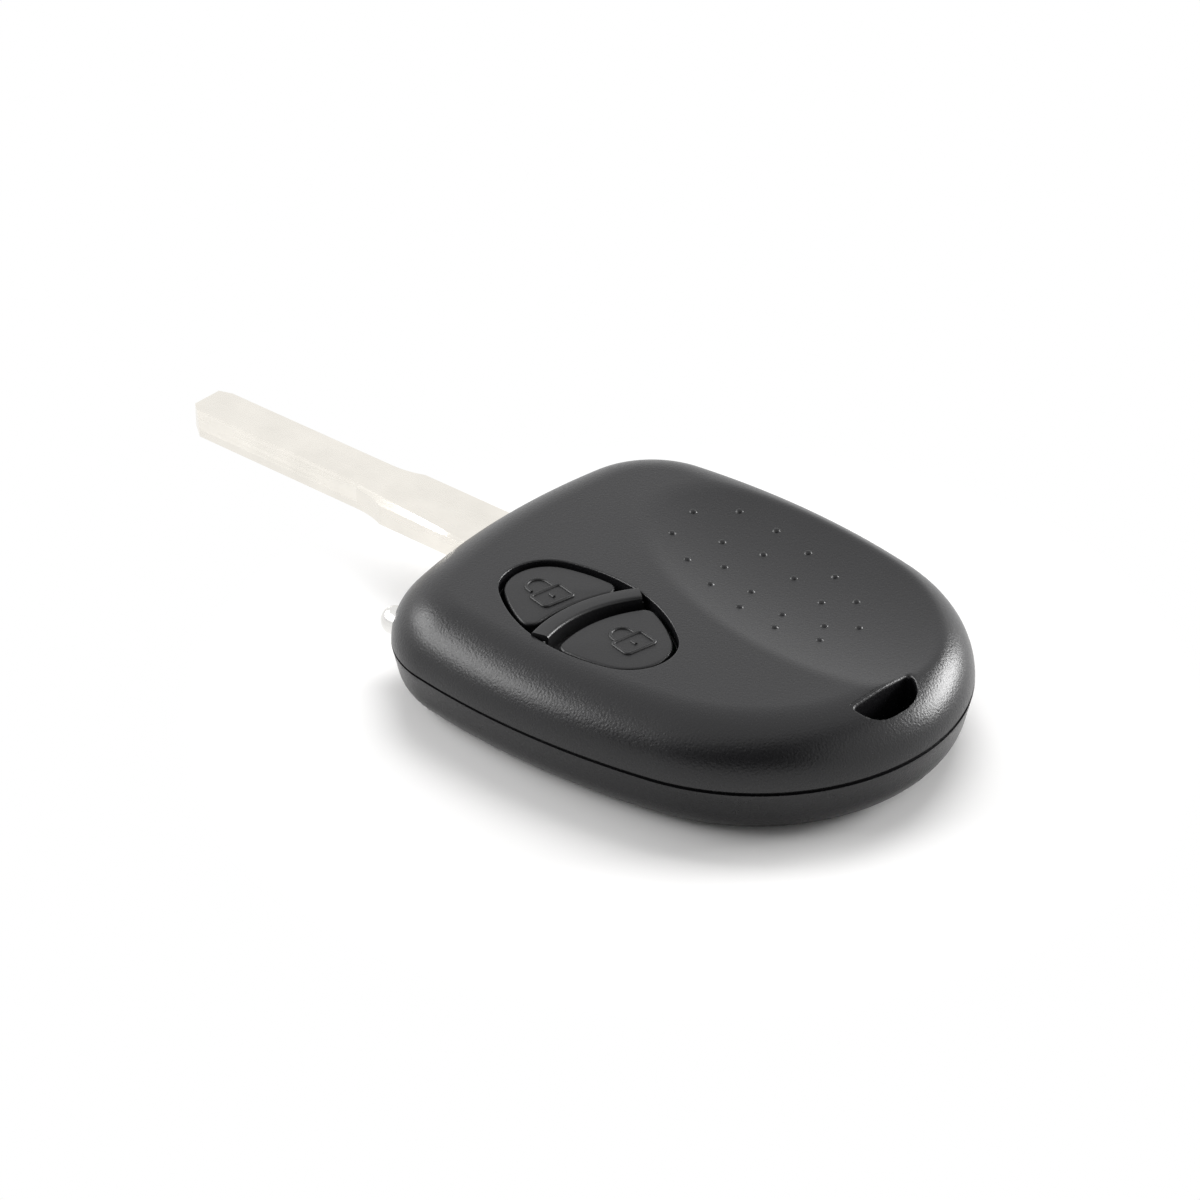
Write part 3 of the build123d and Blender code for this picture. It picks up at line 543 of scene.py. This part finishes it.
def collar(name, z0, z1, room):
    """The wall round the keyring slot, at least room inside the outline and under the surface."""
    inner, outer = slot_loop(COLLAR_GAP), slot_loop(COLLAR_WALL)
    away = outer - REAR_AT
    reach = np.linalg.norm(away, axis=1)
    outer = REAR_AT + away * (np.minimum(reach, REAR_R - room) / reach)[:, None]
    rows = [lift(inner, z0), lift(outer, z0)]
    for loop in (outer, inner):
        rows.append(lift(loop, np.minimum(z1, surface_z(loop[:, 0], loop[:, 1]) - COLLAR_UNDER)))
    rows.append(rows[0])
    verts, faces = skin(rows)
    return mesh_object(name, verts, faces)


def pocket_loop(grow=0.0):
    sizes = [size + grow for size in (POCKET_HALF_LENGTH, POCKET_HALF_WIDTH, POCKET_END_R)]
    return turn2(oval_loop(*sizes, POCKET_POINTS), POCKET_TURN, POCKET_AT)


def blade_tool():
    low = (X_FRONT - BLADE_BEFORE, -BLADE_HALF, Z_BLADE - BLADE_BELOW)
    high = (X_FRONT + BLADE_BEHIND, BLADE_HALF, Z_BLADE + BLADE_ABOVE)
    return box_tool(low, high)


def pin_tool():
    return rod_tool(X_PIN - PIN_HOLE_BEFORE, X_PIN + PIN_HOLE_BEHIND, PIN_HOLE_R)


def slot_tool():
    """The cutter for the slot in the lower shell, wider at the underside."""
    rows = []
    for grow, z in SLOT_ROWS:
        rows.append(lift(slot_loop(grow), z))
    ends = [np.array([*slot_loop().mean(0), row[0, 2]]) for row in (rows[0], rows[-1])]
    verts, faces = skin(rows, cap_low=ends[0], cap_high=ends[1])
    return mesh_object("tool", verts, faces)


def join(objects):
    """One object from several, keeping the first one's name."""
    first = objects[0]
    bm = bmesh.new()
    for o in objects:
        bm.from_mesh(o.data)
    bm.to_mesh(first.data)
    bm.free()
    for o in objects[1:]:
        bpy.data.objects.remove(o)
    return first


def dot_bumps():
    """Raised dots on two nested ovals of the thumb rest."""
    dots = []
    t = np.linspace(0, 2 * np.pi, DOT_SIDES, endpoint=False)
    for count, first, at, size in DOT_RINGS:
        line = oval_loop(*size, DOT_LINE_POINTS)
        start = int(np.argmin(np.linalg.norm(line - [size[0], 0], axis=1)))
        for k in range(count):
            step = int(round((k + first) / count * DOT_LINE_POINTS))
            p = turn2(line[(start + step) % DOT_LINE_POINTS][None], DOTS_TURN, at)[0]
            foot = float(rest_z(p[:1], p[1:])[0])
            rows = []
            for radius, height in DOT_PROFILE:
                x, y = p[0] + radius * np.cos(t), p[1] + radius * np.sin(t)
                rows.append(np.column_stack([x, y, rest_z(x, y) + height]))
            verts, faces = skin(rows, cap_high=np.array([p[0], p[1], foot + DOT_HEIGHT]))
            dots.append(mesh_object("dot", verts, faces))
    return dots


# Buttons, bar and blade

def node_loop(node, z_mm, count, tolerance=0.02):
    """The frame node's outline at one height, in order about its middle."""
    pts = []
    obj = frame["nodes"][node]
    for v in obj.data.vertices:
        p = obj.matrix_world @ v.co
        if abs(p.z / MM - z_mm) < tolerance:
            pts.append((p.x / MM, p.y / MM))
    pts = np.unique(np.round(np.array(pts), 4), axis=0)
    mid = (pts.max(0) + pts.min(0)) / 2
    order = np.argsort(np.arctan2(pts[:, 1] - mid[1], pts[:, 0] - mid[0]))
    return resample(pts[order], count)


def inset_loop(loop, amount):
    """Move an anticlockwise loop in by an amount."""
    ahead, behind = np.roll(loop, -1, 0), np.roll(loop, 1, 0)
    way = ahead - behind
    way = way / np.linalg.norm(way, axis=1)[:, None]
    return loop + np.column_stack([-way[:, 1], way[:, 0]]) * amount


def rubber_button(name, node):
    """A button over the frame's one: upright side, rounded edge and a slight crown."""
    loop = inset_loop(node_loop(node, Z_BUTTON_SIDE, BUTTON_POINTS), BUTTON_INSET)
    foot = Z_BUTTON - BUTTON_DEEP
    edge_z = Z_BUTTON - BUTTON_EDGE_R
    rows = [lift(loop, foot), lift(loop, Z_BUTTON - BUTTON_SIDE), lift(loop, edge_z)]
    steps = 8
    for k in range(1, steps + 1):
        turn = math.pi / 2 * k / steps
        ring = inset_loop(loop, BUTTON_EDGE_R * (1 - math.cos(turn)))
        rows.append(lift(ring, edge_z + BUTTON_EDGE_R * math.sin(turn)))
    mid = loop.mean(0)
    rim = rows[-1][:, :2]
    steps = 12
    for k in range(1, steps):
        t = k / steps
        rows.append(lift(rim + (mid - rim) * t, Z_BUTTON + BUTTON_CROWN * (1 - (1 - t) ** 2)))
    ends = [np.array([*mid, z]) for z in (foot, Z_BUTTON + BUTTON_CROWN)]
    verts, faces = skin(rows, cap_low=ends[0], cap_high=ends[1])
    return mesh_object(name, verts, faces)


def bar_skin():
    """The bowed bar between the buttons, with a flat top and rounded edges."""
    radius = BAR_EDGE_R
    section = [(-BAR_HALF, Z_BAR_FOOT)]
    for k in range(RIM_STEPS + 1):
        a = math.pi - math.pi / 2 * k / RIM_STEPS
        section.append((-BAR_HALF + radius + radius * math.cos(a), Z_BAR - radius + radius * math.sin(a)))
    section += [(-x, z) for x, z in reversed(section)]
    section = np.array(section)
    swing = math.asin(BAR_REACH / BAR_BOW)
    rows = []
    for a in np.linspace(-swing, swing, BAR_ROWS):
        r = BAR_BOW - section[:, 0]
        flat = np.column_stack([BAR_BOW - BAR_FROM_MIDDLE - r * math.cos(a), r * math.sin(a)])
        rows.append(np.column_stack([turn2(flat, POCKET_TURN, POCKET_AT), section[:, 1]]))
    verts, faces = skin(rows, cap_low=rows[0].mean(0), cap_high=rows[-1].mean(0))
    obj = mesh_object("keypad_bar_skin", verts, faces)
    auto_smooth(obj, BAR_SHARP)
    return obj


def tube_mesh(points, radius, name, sides=12):
    """A round tube along points, closed at its ends."""
    p = np.asarray(points, float)
    rows = []
    for k in range(len(p)):
        way = p[min(k + 1, len(p) - 1)] - p[max(k - 1, 0)]
        way = way / np.linalg.norm(way)
        side = np.cross(way, [0, 0, 1.0])
        side = side / np.linalg.norm(side)
        up = np.cross(side, way)
        t = np.linspace(0, 2 * np.pi, sides, endpoint=False)
        rows.append(p[k] + radius * (np.cos(t)[:, None] * side + np.sin(t)[:, None] * up))
    verts, faces = skin(rows, cap_low=p[0], cap_high=p[-1])
    return mesh_object(name, verts, faces)


def padlock(name, at, angle, opened):
    """A raised padlock sign drawn in round strokes: a body, a keyhole and a bowed shackle."""
    corner = LOCK_CORNER_R
    side = LOCK_HALF_WIDTH - corner
    low = corner - LOCK_HEIGHT
    body = []
    for x, y, start in ((side, -corner, 0), (-side, -corner, 90), (-side, low, 180), (side, low, 270)):
        for k in range(7):
            a = math.radians(start + 90 * k / 6)
            body.append((x + corner * math.cos(a), y + corner * math.sin(a)))
    body.append(body[0])
    rise = SHACKLE_RISE_OPEN if opened else SHACKLE_RISE_SHUT
    shackle = [(SHACKLE_R, 0.0), (SHACKLE_R, rise / 2)]
    for k in range(17):
        a = math.pi * k / 16
        shackle.append((SHACKLE_R * math.cos(a), rise + SHACKLE_R * math.sin(a)))
    shackle.append((-SHACKLE_R, rise - SHACKLE_GAP if opened else 0.0))
    pieces = []
    for part, line in (("", body), ("_shackle", shackle), ("_keyhole", KEYHOLE)):
        flat = turn2(np.array(line) + [0.0, LOCK_SHIFT], angle, at)
        points = np.column_stack([flat, np.full(len(flat), Z_SIGN)])
        pieces.append(tube_mesh(points, LOCK_STROKE_R, name + part))
    return join(pieces)


def blade_copy():
    """The blank as the frame has it, with crisp edges between smooth faces."""
    src = frame["nodes"]["key_blade"]
    bm = bmesh.new()
    bm.from_mesh(src.data)
    bm.transform(src.matrix_world)
    bmesh.ops.remove_doubles(bm, verts=bm.verts, dist=1e-6)
    mesh = bpy.data.meshes.new("key_blade_skin")
    bm.to_mesh(mesh)
    bm.free()
    obj = bpy.data.objects.new("key_blade_skin", mesh)
    bpy.context.scene.collection.objects.link(obj)
    auto_smooth(obj, BLADE_SHARP)
    return obj


def pin_skin(sides=64):
    """The contact pin's ball end, shaft, collar and tail, turned about its axis."""
    x_end = X_PIN - PIN_R
    turns = np.linspace(0.06, math.pi / 2, 22)
    profile = [(x_end + PIN_R - PIN_R * math.cos(a), PIN_R * math.sin(a)) for a in turns]
    profile += [(X_PIN + PIN_COLLAR_FROM, PIN_R), (X_PIN + PIN_COLLAR_FROM, PIN_COLLAR_R)]
    profile += [(X_PIN + PIN_TAIL_FROM, PIN_COLLAR_R), (X_PIN + PIN_TAIL_FROM, PIN_TAIL_R)]
    profile += [(X_PIN + PIN_END, PIN_TAIL_R)]
    t = np.linspace(0, 2 * np.pi, sides, endpoint=False)
    rows = []
    for x, radius in profile:
        ring = np.column_stack([PIN_Y + radius * np.cos(t), Z_SPLIT + radius * np.sin(t)])
        rows.append(np.column_stack([np.full(sides, x), ring]))
    ends = [np.array([x, PIN_Y, Z_SPLIT]) for x in (x_end, X_PIN + PIN_END)]
    verts, faces = skin(rows, cap_low=ends[0], cap_high=ends[1])
    obj = mesh_object("contact_pin_skin", verts, faces)
    auto_smooth(obj, PIN_SHARP)
    return obj


def coil_skin(node, wire, turns):
    """The spring as one wound wire, as long and as wide as the frame's tube."""
    lo, hi = (np.array(corner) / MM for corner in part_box(node))
    mid = (lo + hi) / 2
    radius = (hi[1] - lo[1]) / 2 - wire
    a = np.linspace(0, 2 * np.pi * turns, turns * COIL_STEPS)
    x = np.linspace(lo[0] + wire, hi[0] - wire, len(a))
    out = np.column_stack([np.zeros(len(a)), np.cos(a), np.sin(a)])
    line = np.column_stack([x, mid[1] + radius * np.cos(a), mid[2] + radius * np.sin(a)])
    way = np.gradient(line, axis=0)
    way = way / np.linalg.norm(way, axis=1)[:, None]
    up = np.cross(way, out)
    t = np.linspace(0, 2 * np.pi, 10, endpoint=False)
    c, s = np.cos(t)[:, None], np.sin(t)[:, None]
    rows = [p + wire * (c * o + s * u) for p, o, u in zip(line, out, up)]
    verts, faces = skin(rows, cap_low=line[0], cap_high=line[-1])
    return mesh_object(node + "_skin", verts, faces)


# Materials

SHELL_BLACK = (0.0070, 0.0069, 0.0079)
RUBBER_BLACK = (0.0070, 0.0069, 0.0076)
INNER_BLACK = (0.012, 0.012, 0.012)
NICKEL = (0.91, 0.875, 0.81)
BRIGHT_STEEL = (0.82, 0.81, 0.79)
TIN = (0.74, 0.73, 0.70)
COPPER = (0.80, 0.42, 0.24)
BOARD_GREEN = (0.015, 0.12, 0.05, 1)
BOARD_GREEN_LIGHT = (0.02, 0.15, 0.06, 1)
TRACK_GREEN = (0.05, 0.22, 0.09, 1)
PLASTIC_SPECULAR = 0.45
PLASTIC_LIGHTER = 1.18
METAL_DARKER = 0.93
DRAWN_SCALE = (60.0, 2200.0, 2200.0)
DRAWN_DEPTH = 0.00001


def new_material(name):
    mat = bpy.data.materials.new(name)
    mat.use_nodes = True
    nodes, links = mat.node_tree.nodes, mat.node_tree.links
    nodes.clear()
    out = nodes.new("ShaderNodeOutputMaterial")
    bsdf = nodes.new("ShaderNodeBsdfPrincipled")
    links.new(bsdf.outputs["BSDF"], out.inputs["Surface"])
    coord = nodes.new("ShaderNodeTexCoord")
    return mat, nodes, links, bsdf, coord


def noise(nodes, links, coord, scale, detail=2.0, rough=0.5):
    n = nodes.new("ShaderNodeTexNoise")
    n.inputs["Scale"].default_value = scale
    n.inputs["Detail"].default_value = detail
    n.inputs["Roughness"].default_value = rough
    links.new(coord.outputs["Object"], n.inputs["Vector"])
    return n


def ramp(nodes, links, source, low, high, a=0.3, b=0.7):
    """Map a 0 to 1 value onto two colours or greys."""
    r = nodes.new("ShaderNodeValToRGB")
    r.color_ramp.elements[0].position = a
    r.color_ramp.elements[1].position = b
    r.color_ramp.elements[0].color = (*low, 1)
    r.color_ramp.elements[1].color = (*high, 1)
    links.new(source, r.inputs["Fac"])
    return r


def bump(nodes, links, height, bsdf, strength, distance):
    b = nodes.new("ShaderNodeBump")
    b.inputs["Strength"].default_value = strength
    b.inputs["Distance"].default_value = distance
    links.new(height, b.inputs["Height"])
    links.new(b.outputs["Normal"], bsdf.inputs["Normal"])


def grained_plastic(name, colour, rough, grain_size, grain_depth, strength):
    """Black moulding with a fine pebbled grain and a little unevenness of gloss."""
    mat, nodes, links, bsdf, coord = new_material(name)
    fine = noise(nodes, links, coord, 1.0 / grain_size, 3.0, 0.55)
    cells = nodes.new("ShaderNodeTexVoronoi")
    cells.inputs["Scale"].default_value = 0.9 / grain_size
    cells.feature = "SMOOTH_F1"
    links.new(coord.outputs["Object"], cells.inputs["Vector"])
    add = nodes.new("ShaderNodeMath")
    add.operation = "ADD"
    links.new(fine.outputs["Fac"], add.inputs[0])
    links.new(cells.outputs["Distance"], add.inputs[1])
    bump(nodes, links, add.outputs[0], bsdf, strength, grain_depth)
    cloud = noise(nodes, links, coord, 120.0, 2.0)
    light = tuple(min(1.0, c * PLASTIC_LIGHTER) for c in colour)
    tone = ramp(nodes, links, cloud.outputs["Fac"], colour, light)
    links.new(tone.outputs["Color"], bsdf.inputs["Base Color"])
    spread = ramp(nodes, links, fine.outputs["Fac"], (rough - 0.04,) * 3, (rough + 0.05,) * 3)
    links.new(spread.outputs["Color"], bsdf.inputs["Roughness"])
    bsdf.inputs["Specular IOR Level"].default_value = PLASTIC_SPECULAR
    return mat


def metal(name, colour, rough, lines):
    """Metal with fine drawn lines along the key and small changes of gloss."""
    mat, nodes, links, bsdf, coord = new_material(name)
    bsdf.inputs["Metallic"].default_value = 1.0
    mapping = nodes.new("ShaderNodeMapping")
    mapping.inputs["Scale"].default_value = DRAWN_SCALE
    links.new(coord.outputs["Object"], mapping.inputs["Vector"])
    n = nodes.new("ShaderNodeTexNoise")
    n.inputs["Scale"].default_value = 1.0
    n.inputs["Detail"].default_value = 3.0
    links.new(mapping.outputs["Vector"], n.inputs["Vector"])
    cloud = noise(nodes, links, coord, 260.0, 3.0)
    dark = tuple(c * METAL_DARKER for c in colour)
    tone = ramp(nodes, links, cloud.outputs["Fac"], dark, colour)
    links.new(tone.outputs["Color"], bsdf.inputs["Base Color"])
    spread = ramp(nodes, links, n.outputs["Fac"], (rough * 0.85,) * 3, (rough * 1.15,) * 3)
    links.new(spread.outputs["Color"], bsdf.inputs["Roughness"])
    bump(nodes, links, n.outputs["Fac"], bsdf, lines, DRAWN_DEPTH)
    return mat


def board_material():
    """Green lacquered laminate with faint tracks."""
    mat, nodes, links, bsdf, coord = new_material("board_green")
    brick = nodes.new("ShaderNodeTexBrick")
    brick.inputs["Scale"].default_value = 420.0
    brick.inputs["Mortar Size"].default_value = 0.06
    brick.inputs["Color1"].default_value = BOARD_GREEN
    brick.inputs["Color2"].default_value = BOARD_GREEN_LIGHT
    brick.inputs["Mortar"].default_value = TRACK_GREEN
    links.new(coord.outputs["Object"], brick.inputs["Vector"])
    links.new(brick.outputs["Color"], bsdf.inputs["Base Color"])
    bsdf.inputs["Roughness"].default_value = 0.35
    return mat


shell_mat = grained_plastic("shell_plastic", SHELL_BLACK, 0.30, 0.00020, 0.000020, 0.8)
rubber_mat = grained_plastic("button_rubber", RUBBER_BLACK, 0.42, 0.00018, 0.000010, 0.7)
web_mat = grained_plastic("web_rubber", RUBBER_BLACK, 0.36, 0.00018, 0.000008, 0.7)
dark_mat = grained_plastic("inner_plastic", INNER_BLACK, 0.6, 0.0003, 0.00002, 0.2)
blade_mat = metal("nickel_satin", NICKEL, 0.28, 0.2)
pin_mat = metal("pin_bright", BRIGHT_STEEL, 0.16, 0.05)
tin_mat = metal("tinned", TIN, 0.32, 0.1)
copper_mat = metal("copper", COPPER, 0.3, 0.1)
board_mat = board_material()


def dress(obj, mat):
    obj.data.materials.clear()
    obj.data.materials.append(mat)
    for p in obj.data.polygons:
        p.material_index = 0


def dress_node(node, mat):
    """Give a frame node a material without touching its mesh."""
    obj = frame["nodes"][node]
    if not obj.material_slots:
        obj.data.materials.append(mat)
    for s in obj.material_slots:
        s.material = mat


# Put the pieces together

body_of = {}
for body, nodes_in in frame["record"]["behaviour"]["bodies"].items():
    for node in nodes_in:
        body_of[node] = body


def stand_for(obj, node, mat):
    """Let an object take a frame node's place, with its material and body."""
    dress(obj, mat)
    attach(obj, body_of[node])
    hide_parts(node)


def build_upper():
    """The upper shell with its pocket, slot, blade opening, pin hole, slot wall and dots."""
    upper = closed_shell("upper_shell_skin", upper_outer(), upper_inner())
    upper = cut(upper, hole_tool(pocket_loop, POCKET_RIM, Z_POCKET))
    upper = cut(upper, hole_tool(slot_loop, SLOT_RIM, Z_SLOT))
    upper = cut(upper, blade_tool())
    upper = cut(upper, pin_tool())
    upper = join([upper, collar("collar", Z_SPLIT, Z_COLLAR_TOP, COLLAR_ROOM_UPPER)] + dot_bumps())
    auto_smooth(upper, SHELL_SHARP)
    stand_for(upper, "upper_shell", shell_mat)


def build_lower():
    """The lower shell with its slot, blade opening, pin hole and slot wall."""
    lower = closed_shell("lower_shell_skin", lower_outer(), lower_inner(), turned=True)
    lower = cut(lower, slot_tool())
    lower = cut(lower, blade_tool())
    lower = cut(lower, pin_tool())
    lower = join([lower, collar("collar", Z_COLLAR_FOOT, Z_SPLIT, COLLAR_ROOM_LOWER)])
    auto_smooth(lower, SHELL_SHARP)
    stand_for(lower, "lower_shell", shell_mat)


def build_button(node, opened):
    """One rubber button with its padlock sign."""
    name = node + "_skin"
    button = rubber_button(name, node)
    low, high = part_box(node)
    middle = ((low.x + high.x) / 2 / MM, (low.y + high.y) / 2 / MM)
    sign = padlock(name + "_sign", middle, POCKET_TURN + math.pi / 2, opened)
    button = join([button, sign])
    auto_smooth(button, BUTTON_SHARP)
    stand_for(button, node, rubber_mat)


def build_bar():
    """The bar between the buttons, which belongs to the rubber web."""
    bar = bar_skin()
    dress(bar, web_mat)
    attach(bar, body_of["keypad_web"])


def build_spring():
    """The wound spring, with a mesh of its own; in the key it shortens towards its rear end when the pin
    goes in.
    """
    node = "contact_pin_spring"
    spring = coil_skin(node, SPRING_WIRE, SPRING_TURNS)
    stand_for(spring, node, tin_mat)
    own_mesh(spring)


def dress_other_nodes():
    """Materials for the pieces that keep the frame's own mesh."""
    own_skin = ("upper_shell", "lower_shell", "unlock_button", "lock_button")
    own_skin += ("key_blade", "contact_pin", "contact_pin_spring")
    by_name = {"keypad_web": web_mat, "circuit_board": board_mat, "antenna_loop": copper_mat}
    moulded = ("base", "plunger", "chip", "gasket")
    for node in frame["nodes"]:
        if node in own_skin:
            continue
        mat = dark_mat if any(word in node for word in moulded) else tin_mat
        dress_node(node, by_name.get(node, mat))


build_upper()
build_lower()
build_button("unlock_button", True)
build_button("lock_button", False)
build_bar()
stand_for(blade_copy(), "key_blade", blade_mat)
stand_for(pin_skin(), "contact_pin", pin_mat)
build_spring()
dress_other_nodes()


# Floor, lights and camera

# Where the camera stands and looks, in metres, from the ring end and the split
YAW = math.radians(40.32)
PITCH = math.radians(32.5)
AHEAD = Vector((-math.sin(YAW), math.cos(YAW), 0.0))
CAMERA_AT = (0.19896, -0.28169, 0.23533)
LENS = 135.0
SENSOR = 36.0

# What the lamps look at, and each lamp's azimuth, elevation, distance, width, height and power
LAMP_TARGET = Vector((0.012, 0.0, 0.006))
LAMPS = (
    ("top", 210, 54, 0.5, 0.36, 0.28, 1.9),
    ("left", -60, 30, 0.45, 0.46, 0.18, 1.6),
    ("right_back", 152, 14, 0.5, 0.3, 0.18, 2.8),
)

# Floor: half its size in millimetres, as mesh_object wants it, and its drop in metres
FLOOR_HALF = 3.0 / MM
FLOOR_DROP = 0.02 * MM
FLOOR_WHITE = (0.95, 0.945, 0.94, 1)

# A span: the values it runs between, then what it gives at each of them
FADE_SPAN = (0.027, 0.050, 0.0, 1.0)
BACKDROP_SPAN = (0.2, 0.6, 0.05, 0.98)
WALL_SPAN = (0.70, 0.95, 0.0, 0.95)
LOW_SPAN = (0.14, 0.40, 0.9, 0.0)

# The floor's shadow fades into plain white with the distance from here, in metres
FADE_FROM = (0.020, -0.002, 0.0)

# World: ways to the pale backdrop and the wall beside the key, and the light on matt surfaces
TO_BACKDROP = (-0.621, 0.166, 0.766)
TO_WALL = (0.894, 0.290, 0.342)
PLAIN_LEVEL = 0.30


def seen_rays(nodes, links):
    """One for camera, glossy and transmission rays, and nought for the rest."""
    path = nodes.new("ShaderNodeLightPath")
    first = nodes.new("ShaderNodeMath")
    first.operation = "MAXIMUM"
    links.new(path.outputs["Is Camera Ray"], first.inputs[0])
    links.new(path.outputs["Is Glossy Ray"], first.inputs[1])
    both = nodes.new("ShaderNodeMath")
    both.operation = "MAXIMUM"
    links.new(first.outputs[0], both.inputs[0])
    links.new(path.outputs["Is Transmission Ray"], both.inputs[1])
    return both.outputs[0]


def span(nodes, links, source, low, high, out_low, out_high):
    """Map a value smoothly from one range to another."""
    m = nodes.new("ShaderNodeMapRange")
    m.interpolation_type = "SMOOTHSTEP"
    for name, value in (("From Min", low), ("From Max", high), ("To Min", out_low), ("To Max", out_high)):
        m.inputs[name].default_value = value
    links.new(source, m.inputs["Value"])
    return m.outputs["Result"]


def floor_material():
    """Pale floor that keeps the shadow near the key and turns plain white away from it."""
    mat = bpy.data.materials.new("floor_white")
    mat.use_nodes = True
    nodes, links = mat.node_tree.nodes, mat.node_tree.links
    nodes.clear()
    out = nodes.new("ShaderNodeOutputMaterial")
    matt = nodes.new("ShaderNodeBsdfDiffuse")
    matt.inputs["Color"].default_value = FLOOR_WHITE
    glow = nodes.new("ShaderNodeEmission")
    glow.inputs["Strength"].default_value = 1.0
    coord = nodes.new("ShaderNodeTexCoord")
    away = nodes.new("ShaderNodeVectorMath")
    away.operation = "DISTANCE"
    links.new(coord.outputs["Object"], away.inputs[0])
    away.inputs[1].default_value = FADE_FROM
    share = nodes.new("ShaderNodeMath")
    share.operation = "MULTIPLY"
    plain = span(nodes, links, away.outputs["Value"], *FADE_SPAN)
    links.new(plain, share.inputs[0])
    links.new(seen_rays(nodes, links), share.inputs[1])
    mix = nodes.new("ShaderNodeMixShader")
    links.new(share.outputs[0], mix.inputs["Fac"])
    links.new(matt.outputs["BSDF"], mix.inputs[1])
    links.new(glow.outputs["Emission"], mix.inputs[2])
    links.new(mix.outputs["Shader"], out.inputs["Surface"])
    return mat


def studio_world():
    """Pale all round low down, behind, above and beside the key, and darker high up before it."""
    world = bpy.data.worlds.new("studio")
    world.use_nodes = True
    nodes, links = world.node_tree.nodes, world.node_tree.links
    background = nodes["Background"]
    background.inputs["Color"].default_value = (1, 1, 1, 1)
    coord = nodes.new("ShaderNodeTexCoord")
    along = nodes.new("ShaderNodeVectorMath")
    along.operation = "DOT_PRODUCT"
    links.new(coord.outputs["Generated"], along.inputs[0])
    along.inputs[1].default_value = TO_BACKDROP
    pale = span(nodes, links, along.outputs["Value"], *BACKDROP_SPAN)
    beside = nodes.new("ShaderNodeVectorMath")
    beside.operation = "DOT_PRODUCT"
    links.new(coord.outputs["Generated"], beside.inputs[0])
    beside.inputs[1].default_value = TO_WALL
    wall = span(nodes, links, beside.outputs["Value"], *WALL_SPAN)
    either = nodes.new("ShaderNodeMath")
    either.operation = "MAXIMUM"
    links.new(pale, either.inputs[0])
    links.new(wall, either.inputs[1])
    parts = nodes.new("ShaderNodeSeparateXYZ")
    links.new(coord.outputs["Generated"], parts.inputs[0])
    low_round = span(nodes, links, parts.outputs["Z"], *LOW_SPAN)
    every = nodes.new("ShaderNodeMath")
    every.operation = "MAXIMUM"
    links.new(either.outputs[0], every.inputs[0])
    links.new(low_round, every.inputs[1])
    plain = nodes.new("ShaderNodeMix")
    plain.inputs["A"].default_value = PLAIN_LEVEL
    links.new(seen_rays(nodes, links), plain.inputs["Factor"])
    links.new(every.outputs[0], plain.inputs["B"])
    links.new(plain.outputs["Result"], background.inputs["Strength"])
    return world


def soft_box(name, azimuth, elevation, distance, width, height, power):
    """A soft light that looks at the key."""
    light = bpy.data.lights.new(name, "AREA")
    light.shape = "RECTANGLE"
    light.size = width
    light.size_y = height
    light.energy = power
    obj = bpy.data.objects.new(name, light)
    bpy.context.scene.collection.objects.link(obj)
    a, e = math.radians(azimuth), math.radians(elevation)
    back = Vector((math.sin(a) * math.cos(e), -math.cos(a) * math.cos(e), math.sin(e)))
    obj.location = LAMP_TARGET + back * distance
    obj.rotation_mode = "QUATERNION"
    obj.rotation_quaternion = (-back).to_track_quat("-Z", "Y")
    return obj


def make_floor():
    size = FLOOR_HALF
    corners = [(-size, -size, 0), (size, -size, 0), (size, size, 0), (-size, size, 0)]
    floor = mesh_object("floor", corners, [(0, 1, 2, 3)])
    floor.location.z = -FLOOR_DROP
    floor.data.materials.append(floor_material())


def make_camera():
    data = bpy.data.cameras.new("camera")
    data.sensor_width = SENSOR
    data.lens = LENS
    data.clip_start = 0.01
    data.clip_end = 10.0
    camera = bpy.data.objects.new("camera", data)
    bpy.context.scene.collection.objects.link(camera)
    x, y, z = CAMERA_AT
    camera.location = (x + X_RING * MM, y, z + Z_SPLIT * MM)
    look = AHEAD * math.cos(PITCH) - Vector((0, 0, math.sin(PITCH)))
    camera.rotation_mode = "QUATERNION"
    camera.rotation_quaternion = look.to_track_quat("-Z", "Y")
    bpy.context.scene.camera = camera


make_floor()
bpy.context.scene.world = studio_world()
lamps = {lamp[0]: soft_box(*lamp) for lamp in LAMPS}
lamps["top"].visible_glossy = False
make_camera()
bpy.context.scene.view_settings.view_transform = "Standard"
